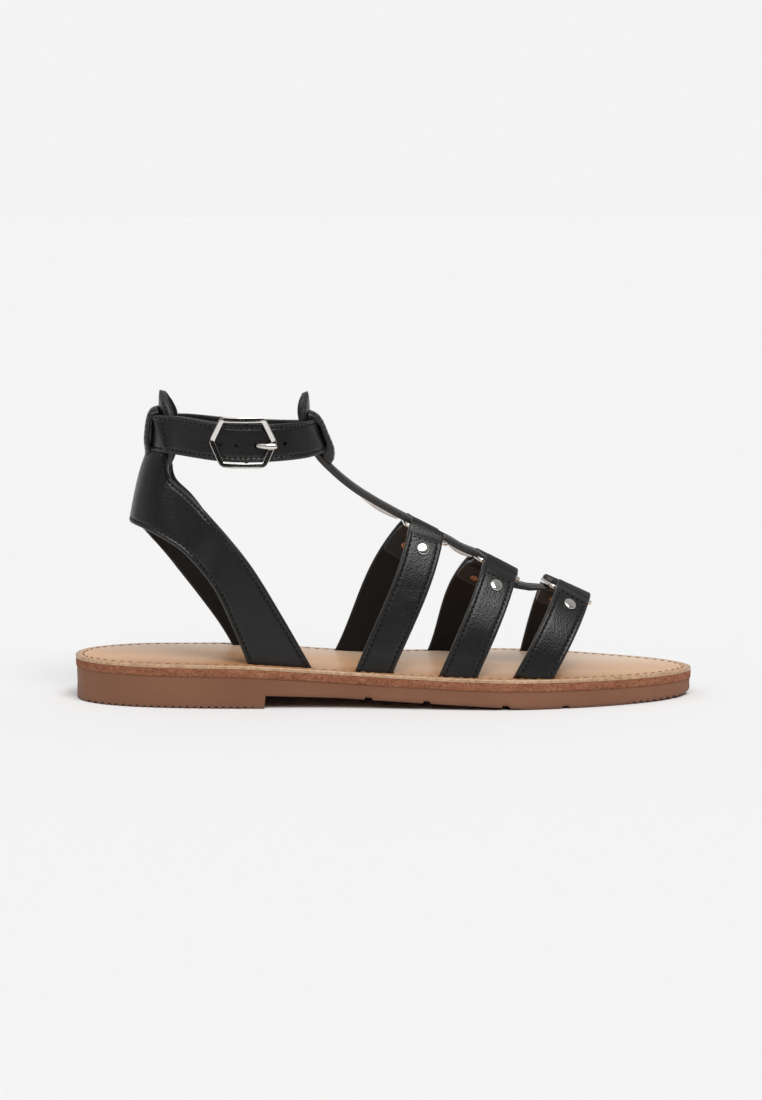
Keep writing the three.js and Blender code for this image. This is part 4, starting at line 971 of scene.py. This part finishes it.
def cross_strap(ring, side, slot_x, slide, belly, stud):
    """Half a cross strap with its stitching, its stud and its rivet back."""
    tag = f"{ring + 1}_{SIDE_WORDS[side]}"
    middle, across, out, bar, along, top = cross_middle(ring, side, slot_x, slide, belly)
    to_top = arc_length(middle[::-1])[::-1]
    place, wide, deep = LOOP_CREASE
    middle = middle - out * (deep * np.exp(-(((to_top - place) / wide) ** 2)))[:, None]
    width = (BASE_WIDTH + (TOP_WIDTH - BASE_WIDTH) * STATIONS / STEPS) / 2
    # Each row is a point, the directions across and out, the half width and the thickness. The
    # first one is the sunk end below the insole.
    foot = middle[0]
    rows = [(foot - unit(middle[1] - foot) * STRAP_SUNK, across[0], out[0], width[0], STRAP)]
    rows += [(*row, STRAP) for row in zip(middle, across, out, width)]
    # Round the ring's bar.
    spoke = top - bar
    offset = float(np.dot(spoke, along))
    spoke = spoke - along * offset
    start = np.linalg.norm(spoke)
    spoke = spoke / start
    inward = -side * np.cross(along, spoke)
    if np.dot(inward, vec(0, -side, 0)) < 0:
        inward = -inward
    for turn in np.linspace(10, 190, 19):
        t = math.radians(turn)
        radius = start + (FOLD_RADIUS - start) * float(ease(turn / 80))
        ray = spoke * math.cos(t) + inward * math.sin(t)
        thinned = float(ease(turn / 60))
        at = bar + along * offset * (1 - float(ease(turn / 90))) + ray * radius
        rows.append((at, along, ray, TOP_WIDTH / 2 - 0.1 * thinned, STRAP - 0.5 * thinned))
    # Back down inside the strap, where it is riveted.
    run = arc_length(middle[::-1])
    for s in np.arange(1.5, FOLD_LENGTH + 0.1, 0.9):
        i = STEPS - float(np.interp(s, run, STATIONS))
        at, a, o = (at_place(i, STATIONS, table) for table in (middle, across, out))
        gap = STRAP / 2 + 0.8 + 2.4 * (1 - float(ease(s / 9.5)))
        half = TOP_WIDTH / 2 - 0.7 - 0.35 * max(0, s - FOLD_LENGTH + 2) ** 2
        rows.append((at - o * gap, a, -o, half, FOLD_THICK))
    points, wides, outs, half, thick = (np.array(column) for column in zip(*rows))
    channel = np.where(np.arange(len(rows)) > STEPS - 6, 0.0, CHANNEL)
    strap = Strap(
        points, unit(wides), unit(outs), half, 0.0, thick / 2, thick / 2, channel, creases=CROSS_CREASES
    )
    add_strap(f"cross_strap_{tag}", strap, ["upper"], foot)
    # Two rows of stitching, and one across below the loop.
    bar_row = int(np.argmin(np.abs(to_top - (stud - STUD_TO_ROW))))
    seams = strap.seams(1, bar_row + 1, above=float(footbed(slot_x)) + SEAM_START)
    seams.append(strap.row(bar_row + 1, -TOP_WIDTH / 2 + STITCH_IN, TOP_WIDTH / 2 - STITCH_IN))
    add_stitches(f"stitching_{tag}", seams)
    at_stud = float(np.interp(-stud, -to_top, STATIONS))
    add_stud(tag, at_place(at_stud, STATIONS, middle), unit(at_place(at_stud, STATIONS, out)))


def lathe(profile, at, axis, sides=28):
    """A turned solid from (radius, height) rows, closed at both ends."""
    helper = vec(1, 0, 0) if abs(axis[0]) < 0.8 else vec(0, 1, 0)
    a = unit(np.cross(axis, helper))
    b = np.cross(axis, a)
    verts = []
    for radius, height in profile:
        for k in range(sides):
            t = 2 * math.pi * k / sides
            verts.append(at + axis * height + a * radius * math.cos(t) + b * radius * math.sin(t))
    faces = []
    for i in range(len(profile) - 1):
        faces += ring_faces(i * sides, (i + 1) * sides, sides)
    faces.append(tuple(reversed(range(sides))))
    faces.append(tuple((len(profile) - 1) * sides + k for k in range(sides)))
    return np.array(verts), outward(verts, faces)


def add_stud(tag, at, axis):
    """A domed stud outside a strap, and the back of its rivet inside."""
    face = STRAP / 2 + 0.05
    dome = [(2.45, face), (2.6, face + 0.15), (2.55, face + 0.4)]
    for angle in np.linspace(12, 88, 9):
        t = math.radians(angle)
        dome.append((2.5 * math.cos(t) ** 0.6, face + 0.42 + 0.42 * math.sin(t)))
    add_piece(f"stud_{tag}_head", *lathe(dome, at, axis), [SILVER], "silver_metal", [f"stud_{tag}"])
    back = STRAP / 2 + FOLD_THICK + 0.1
    rim = [(0.3, back + 0.45), (0.8, back + 0.6), (1.2, back + 0.5), (1.5, back + 0.25), (1.5, back - 0.1)]
    add_piece(f"rivet_{tag}", *lathe(rim, at, -axis, 20), [COPPER], "silver_metal")


for half_strap in CROSS:
    cross_strap(*half_strap)

# ---- Instep strap and the front keeper -----------------------------------------------------------

FORWARD_UP = vec(1, 0, 0.6)


def faced(rows, thick, toward, count):
    """Stations of a strap that is given by its outer face."""
    table = resample(rows, count)
    face = table[:, :3]
    across, out = frames(face, np.tile(vec(0, 1, 0), (count, 1)), np.tile(toward, (count, 1)))
    return face - out * thick / 2, across, out, np.maximum(table[:, 3], 0.6), np.maximum(table[:, 4], 0)


def instep():
    """The instep strap, whose end is folded up round the last ring's rear bar."""
    at, across, out, half, bow = faced(INSTEP, INSTEP_THICK, FORWARD_UP, 150)
    centre, along, wide, up = ring_frame(2)
    bar = centre - along * RING_LENGTH / 2
    turns = [math.radians(turn) for turn in np.linspace(0, 160, 17)]
    rays = np.array([-up * math.cos(t) + along * math.sin(t) for t in turns])
    extra = len(rays)
    thick = np.concatenate([np.full(len(at), INSTEP_THICK), np.full(extra, INSTEP_FOLD)])
    thick[-extra - 8 : -extra] = np.linspace(INSTEP_THICK, INSTEP_FOLD, 8)
    return Strap(
        np.concatenate([at, bar + rays * (BORE + 0.7)]),
        np.concatenate([across, np.tile(wide, (extra, 1))]), unit(np.concatenate([out, -rays])),
        np.concatenate([half, np.full(extra, INSTEP_FOLD_HALF)]),
        np.concatenate([bow, np.zeros(extra)]), thick / 2,
        thick / 2 + np.concatenate([np.full(len(at), EDGE_EXTRA), np.zeros(extra)]), 0.16, 0.5, 0.12,
    )


def lining_strip(strap, start, end):
    """The pale lining that shows below the instep strap's edge between two places along the shoe."""
    run = strap.at[:150, 0]
    picked = np.flatnonzero((run > start) & (run < end))
    thick = LINING_THICK * np.sin(np.linspace(0.15, np.pi - 0.5, len(picked)))
    at = strap.at[picked] - strap.out[picked] * (INSTEP_THICK / 2 + EDGE_EXTRA + thick / 2)[:, None]
    return Strap(
        at, strap.across[picked], strap.out[picked], strap.half[picked] + 0.1, 0.0, thick / 2,
        thick / 2, 0.0, 0.2, pale=np.ones(len(picked), bool),
    )


instep_strap = instep()
add_strap("instep_strap", instep_strap, ["upper"])
for number, (start, end) in enumerate(LINED, 1):
    add_strap(f"instep_lining_{number}", lining_strip(instep_strap, start, end))
add_stitches("instep_stitching", instep_strap.seams(6, 146, 1.6), sink=0.12)


def keeper(name, rows, toward, count, curl, channel, node, inset):
    """A keeper loop. curl is how much thicker it is inside, by its share of the length."""
    extra = np.interp(np.linspace(0, 1, count), *zip(*curl))
    loop = Strap(
        *faced(rows, KEEPER_THICK, toward, count), KEEPER_THICK / 2, KEEPER_THICK / 2 + extra, channel, 0.6
    )
    add_strap(name, loop, [node])
    add_stitches(f"{name}_stitching", loop.seams(2, count - 2, inset))


FRONT_CURL = [(0, 2.6), (0.1, 3.4), (0.24, 3.0), (0.36, 0.3), (0.7, 0), (0.8, 1.6), (0.9, 2.0), (1, 1.0)]
keeper("front_keeper", FRONT_KEEPER, FORWARD_UP, 50, FRONT_CURL, 0.12, "upper", 1.4)

# ---- Heel strap ----------------------------------------------------------------------------------


def leg(rows):
    """A leg's lower and upper edges and its bow, drawn finer."""
    low_edge_line = catmull([r[:3] for r in rows], False, 14)
    high_edge_line = catmull([r[3:6] for r in rows], False, 14)
    steps = np.linspace(0, len(rows) - 1, len(low_edge_line))
    bow = hermite(np.arange(len(rows)), [r[6] for r in rows], steps)
    return low_edge_line, high_edge_line, np.maximum(bow, 0)


def sling():
    """The heel strap from slot to slot, with an end below the insole on each side."""
    outer, inner = leg(LATERAL_LEG), leg(MEDIAL_LEG)
    lows, highs, bows = (np.concatenate([a[::-1], b[1:]]) for a, b in zip(outer, inner))
    middle, across = (lows + highs) / 2, highs - lows
    tangent = np.gradient(middle, axis=0)
    out = unit(np.cross(tangent, across))
    away = middle - vec(ANKLE_X, 0, 0)
    away[:, 2] = 0
    out = np.where(np.sum(out * away, 1, keepdims=True) < 0, -out, out)
    half = np.linalg.norm(across, axis=1) / 2
    at = middle + out * (bows - HEEL_THICK / 2)[:, None]
    drop = vec(0, 0, STRAP_SUNK)
    at = np.concatenate([at[:1] - drop, at, at[-1:] - drop])
    rest = (np.concatenate([a[:1], a, a[-1:]]) for a in (unit(across), out, half, bows))
    return Strap(at, *rest, HEEL_THICK / 2, HEEL_THICK / 2, 0.24, 0.8, creases=SLING_CREASES)


heel_sling = sling()
add_strap("heel_sling", heel_sling, ["heel_strap"], heel_sling.at[1])
add_stitches("heel_sling_stitching", heel_sling.seams(1, -1, above=HEEL_SEAM_START))

BACKWARD = vec(-1, 0, 0)
strip = Strap(*faced(BACK_STRIP, HEEL_THICK, BACKWARD, 80), HEEL_THICK / 2, HEEL_THICK / 2, 0.14, 0.8)
add_strap("back_strip", strip, ["heel_strap"])
add_stitches("back_strip_stitching", strip.seams(22, 72, 1.7))
BACK_CURL = [(0, 0.6), (0.16, 0.8), (0.24, 0), (0.76, 0), (0.86, 1.8), (1, 0.8)]
keeper("back_keeper", BACK_KEEPER, BACKWARD, 60, BACK_CURL, 0.14, "heel_strap", 1.5)

# ---- Ankle strap ---------------------------------------------------------------------------------


def ankle_frame(turn):
    """The ankle strap's outer face at a turn: its place, out, across and half width."""
    round_turn = np.mod(np.asarray(turn, float), 360)
    table = hermite([r[0] for r in ANKLE_RISE], [r[1:] for r in ANKLE_RISE], round_turn)
    angle = np.radians(round_turn)
    flat = unit(np.stack([np.cos(angle) / ANKLE_LENGTH, np.sin(angle) / ANKLE_WIDTH, 0 * angle], -1))
    at = np.stack([ANKLE_X + ANKLE_LENGTH * np.cos(angle), ANKLE_WIDTH * np.sin(angle), table[..., 0]], -1)
    lean = np.radians(table[..., 1])[..., None]
    rise = vec(0, 0, 1)
    out = flat * np.cos(lean) + rise * np.sin(lean)
    across = -flat * np.sin(lean) + rise * np.cos(lean)
    return at, out, across, table[..., 2]


def lateral_turn(x):
    """The turn at a place along the shoe, on the outer side."""
    return -math.degrees(math.acos((x - ANKLE_X) / ANKLE_LENGTH))


def ankle_depth(turn):
    """How deep the strap lies below its outer face, where one end laps over the other."""

    def under(at):
        return ANKLE_LAP * (1 - ease((LAP_ENDS - at) / (LAP_ENDS - LAP_OUT)))

    return np.where(turn + 360 < ANKLE_START, under(turn + 360) - ANKLE_LAP, under(turn))


buckle_up = ankle_frame(lateral_turn(BUCKLE_X))[2]


def buckle_point(along, high, over):
    """A place given from the buckle's middle: along the strap, up it and out of it."""
    at, out, _, _ = ankle_frame(lateral_turn(BUCKLE_X + along))
    return at + out * over + buckle_up * high


def ankle_band():
    turns = np.linspace(ANKLE_START, ANKLE_END, 230)
    at, out, across, half = ankle_frame(turns)
    at = at - out * (ANKLE_THICK / 2 + ankle_depth(turns))[:, None]
    # The buckle end goes round the centre bar.
    bar = buckle_point(BAR_OFFSET, 0, -BAR_DEPTH)
    onward = unit(at[0] - at[1])
    turned = [math.radians(angle) for angle in np.linspace(250, 20, 16)]
    eye_out = np.array([out[0] * math.cos(t) + onward * math.sin(t) for t in turned])
    count = len(eye_out)
    at = np.concatenate([bar + eye_out * (WIRE + GAP + 0.6), at[3:]])
    out = np.concatenate([eye_out, out[3:]])
    across = np.concatenate([np.tile(buckle_up, (count, 1)), across[3:]])
    half = np.concatenate([np.full(count, ANKLE_EYE_HALF), half[3:]])
    # Towards its tip the strap is drawn on the slant.
    forward = unit(at[-1] - at[-2])
    last = 8
    slant = ease(np.linspace(0, 1, last)) * TIP_SLANT
    across[-last:] = across[-last:] + forward[None, :] * slant[:, None]
    half[-2:] -= (0.2, 0.6)
    thick = np.concatenate([np.full(count, ANKLE_EYE_THICK), np.full(len(at) - count, ANKLE_THICK)])
    thick[count : count + 6] = np.linspace(ANKLE_EYE_THICK, ANKLE_THICK, 6)
    thick[-2:] *= (0.92, 0.7)
    channel = np.concatenate([np.zeros(count + 6), np.full(len(at) - count - 6, CHANNEL)])
    return Strap(
        at, across, unit(out), half, 0.0, thick / 2, thick / 2, channel, 0.75, creases=ANKLE_CREASES
    )


band = ankle_band()
ankle = add_strap("ankle_band", band, ["ankle_strap"])
# The free end's rows stop at the tip's own row.
tip_row = band.row(len(band.half) - 4, -5.4, 5.4)
add_stitches("ankle_stitching", band.seams(24, -2, 1.7) + [tip_row])


def cut(piece, verts, faces, name):
    """Cuts a closed shape out of a piece."""
    mesh = new_mesh(name, verts, faces)
    tool = add_object(name, mesh)
    change = piece.modifiers.new("cut", "BOOLEAN")
    change.object, change.operation, change.solver = tool, "DIFFERENCE", "EXACT"
    graph = bpy.context.evaluated_depsgraph_get()
    made = bpy.data.meshes.new_from_object(piece.evaluated_get(graph))
    piece.modifiers.clear()
    piece.data = made
    made.name = piece.name
    bpy.data.objects.remove(tool)
    bpy.data.meshes.remove(mesh)


hole_parts = []
for x in HOLES:
    at, out, across, _ = ankle_frame(lateral_turn(x))
    at = at - across * HOLE_DROP
    ends = [at + out * 1.0, at - out * (ANKLE_THICK - 0.4)]
    hole_parts.append(tube(ends, HOLE_RADIUS, False, 16, 1.0, across))
prong_path = catmull([buckle_point(*row) for row in PRONG], False, 8)
hole_parts.append(tube(prong_path[4:34], TONGUE_HOLE, False, 12, 1.0, buckle_up))
cut(ankle, *together(*hole_parts), "holes")

# ---- Buckle --------------------------------------------------------------------------------------

buckle_out = ankle_frame(lateral_turn(BUCKLE_X))[1]
corners = [
    (BUCKLE_LENGTH, 0), (BUCKLE_SIDE, BUCKLE_HEIGHT), (-BUCKLE_SIDE, BUCKLE_HEIGHT), (-BUCKLE_LENGTH, 0),
    (-BUCKLE_SIDE, -BUCKLE_HEIGHT), (BUCKLE_SIDE, -BUCKLE_HEIGHT),
]


def hexagon():
    """The frame's centre line, its corners eased and its long sides subdivided."""

    def eased(corner, other):
        return corner + (other - corner) / np.linalg.norm(other - corner) * CORNER_EASE

    line = []
    flat = np.array(corners, float)
    for i, corner in enumerate(flat):
        after = flat[(i + 1) % 6]
        start, end, far = eased(corner, flat[i - 1]), eased(corner, after), eased(after, corner)
        for t in np.linspace(0, 1, 6):
            line.append((1 - t) ** 2 * start + 2 * t * (1 - t) * corner + t**2 * end)
        for t in np.linspace(0, 1, 8)[1:-1]:
            line.append(end * (1 - t) + far * t)
    return np.array([buckle_point(a, h, BUCKLE_LIFT) for a, h in line])


frame_wire = tube(hexagon(), FRAME_WIRE, True, 32, 0.7, buckle_out, None, 0.3)
# The centre bar stands on the frame's wires and passes below the strap.
bar_path = [
    buckle_point(BAR_OFFSET, high, over)
    for high, over in (
        (-BUCKLE_HEIGHT, BUCKLE_LIFT), (-BUCKLE_HEIGHT, -BAR_DEPTH), (BUCKLE_HEIGHT, -BAR_DEPTH),
        (BUCKLE_HEIGHT, BUCKLE_LIFT),
    )
]
bar_line = []
for i, (a, b) in enumerate(zip(bar_path, bar_path[1:])):
    corner = BAR_CORNER / np.linalg.norm(b - a)
    for t in np.linspace(0 if i == 0 else corner, 1 if i == 2 else 1 - corner, 6):
        bar_line.append(a * (1 - t) + b * t)
sideways = unit(np.cross(buckle_up, buckle_out))
bar_wire = tube(bar_line, BAR_WIRE, False, 14, 1.0, sideways)
add_piece("buckle_wire", *together(frame_wire, bar_wire), [SILVER], "silver_metal", ["buckle_frame"])

end = len(prong_path) - 1
taper = np.interp(np.arange(end + 1), [0, 14, 40, end - 1, end], [0.8, 1, 1, 0.95, 0.75])
prong = tube(prong_path, TONGUE_WIRE, False, 24, 1.5, buckle_up, taper)
bar_centre = buckle_point(BAR_OFFSET, PRONG[0][1], -BAR_DEPTH)
loop_line = [
    bar_centre + (buckle_out * math.cos(t) + sideways * math.sin(t)) * EYE_RADIUS
    for t in np.linspace(0, 2 * math.pi, 28, endpoint=False)
]
prong_eye = tube(loop_line, EYE_WIRE, True, 12, 1.0, buckle_up)
add_piece("buckle_tongue", *together(prong, prong_eye), [SILVER], "silver_metal", ["buckle_prong"])

# ---- Slots in the insole -------------------------------------------------------------------------


def slot_cutter(at, across, out, half, thick):
    """An upright slot with a slightly scalloped outer rim."""
    flat_out = unit(vec(out[0], out[1], 0))
    flat_across = unit(vec(across[0], across[1], 0))
    half = half / max(abs(float(np.dot(across, flat_across))), 0.2)
    share = np.linspace(-1, 1, 41)
    scallop = [thick / 2 + 0.28 + 0.22 * math.cos(s * 5.5 * math.pi) for s in share]
    outer = [at + flat_across * s * half + flat_out * reach for s, reach in zip(share, scallop)]
    inner = [at + flat_across * s * half - flat_out * (thick / 2 + 0.3) for s in share[::-1]]
    ring = np.array(outer + inner)
    high_ring, low_ring = ring.copy(), ring.copy()
    high_ring[:, 2], low_ring[:, 2] = 30, 5
    n = len(ring)
    verts = np.concatenate([low_ring, high_ring])
    faces = ring_faces(0, n, n) + [tuple(reversed(range(n))), tuple(range(n, 2 * n))]
    return verts, outward(verts, faces)


SLOT_ROOM = 0.35  # of a slot past a strap's edge
cutters = []
for half_strap in CROSS:
    middle, across, out = cross_middle(*half_strap[:5])[:3]
    cutters.append(slot_cutter(middle[0], across[0], out[0], BASE_WIDTH / 2 + SLOT_ROOM, STRAP))
for end in (1, -2):
    at, across, out = (table[end] for table in (heel_sling.at, heel_sling.across, heel_sling.out))
    cutters.append(slot_cutter(at, across, out, heel_sling.half[end] + SLOT_ROOM, HEEL_THICK))
cut(insole, *together(*cutters), "slots")

# ---- Stage, lights and camera --------------------------------------------------------------------

FLOOR_SIZE = 40
FLOOR_TONE = 0.873
BACKDROP = colour(244, 244, 244)
SKY_BACK = (-0.95, 0.2, 0.02, 0.55)  # where the sky's light grows towards the back, and its range
SKY_OVER = (0.2, 0.8, 0.0, -0.05)  # what is taken off it overhead
SUNS = [  # direction from the shoe, angle across, power
    ("key", (0.3, -0.48, 0.9), 30, 1.55),
    ("front", (0.0, -0.64, 0.77), 36, 0.85),
    ("fill", (-0.6, -0.4, 0.9), 60, 0.5),
]
CAMERA_AT = vec(124, -1140, 200)
PITCH = 6.984
SENSOR = 36
LENS = SENSOR * 2814 / 1100

mesh = bpy.data.meshes.new("floor")
floor_corners = [(-1, -1), (1, -1), (1, 1), (-1, 1)]
mesh.from_pydata([(x * FLOOR_SIZE, y * FLOOR_SIZE, 0) for x, y in floor_corners], [], [(0, 1, 2, 3)])
floor = add_object("floor", mesh)
tone = (FLOOR_TONE, FLOOR_TONE, FLOOR_TONE, 1)
mesh.materials.append(Look("pale_floor", Base_Color=tone, Roughness=0.9, Specular_IOR_Level=0.0).material)

# The camera sees an even backdrop, and the shoe is lit by a soft sky.
world = bpy.data.worlds.new("studio")
bpy.context.scene.world = world
world.use_nodes = True
sky = Nodes(world.node_tree)
sky.tree.nodes.clear()
where = sky.node("ShaderNodeTexCoord").outputs["Generated"]
split = sky.node("ShaderNodeSeparateXYZ", Vector=where)
total = sky.node("ShaderNodeMath")
sky.feed(total.inputs[0], sky.ranged(split.outputs[1], *SKY_BACK))
sky.feed(total.inputs[1], sky.ranged(split.outputs[2], *SKY_OVER))
soft = sky.node("ShaderNodeBackground", Strength=total.outputs[0])
seen = sky.node("ShaderNodeBackground", Color=BACKDROP)
rays = sky.node("ShaderNodeLightPath").outputs["Is Camera Ray"]
pick = sky.node("ShaderNodeMixShader")
for socket, source in zip(pick.inputs, (rays, soft.outputs[0], seen.outputs[0])):
    sky.feed(socket, source)
sky.feed(sky.node("ShaderNodeOutputWorld").inputs[0], pick.outputs[0])

# Far soft lights, which fall evenly on the floor.
for name, direction, angle, power in SUNS:
    light = bpy.data.lights.new(name, "SUN")
    light.angle, light.energy = math.radians(angle), power
    add_object(name, light).rotation_euler = Vector(direction).to_track_quat("Z", "Y").to_euler()

camera_data = bpy.data.cameras.new("camera")
camera_data.sensor_width = SENSOR
camera_data.lens = LENS
camera_data.clip_end = 200
camera = add_object("camera", camera_data)
camera.location = ((CAMERA_AT + vec(SHIFT[0], SHIFT[1], 0)) / 1000).tolist()
camera.rotation_euler = (math.radians(90 - PITCH), 0, 0)
bpy.context.scene.camera = camera
bpy.context.scene.view_settings.view_transform = "Standard"
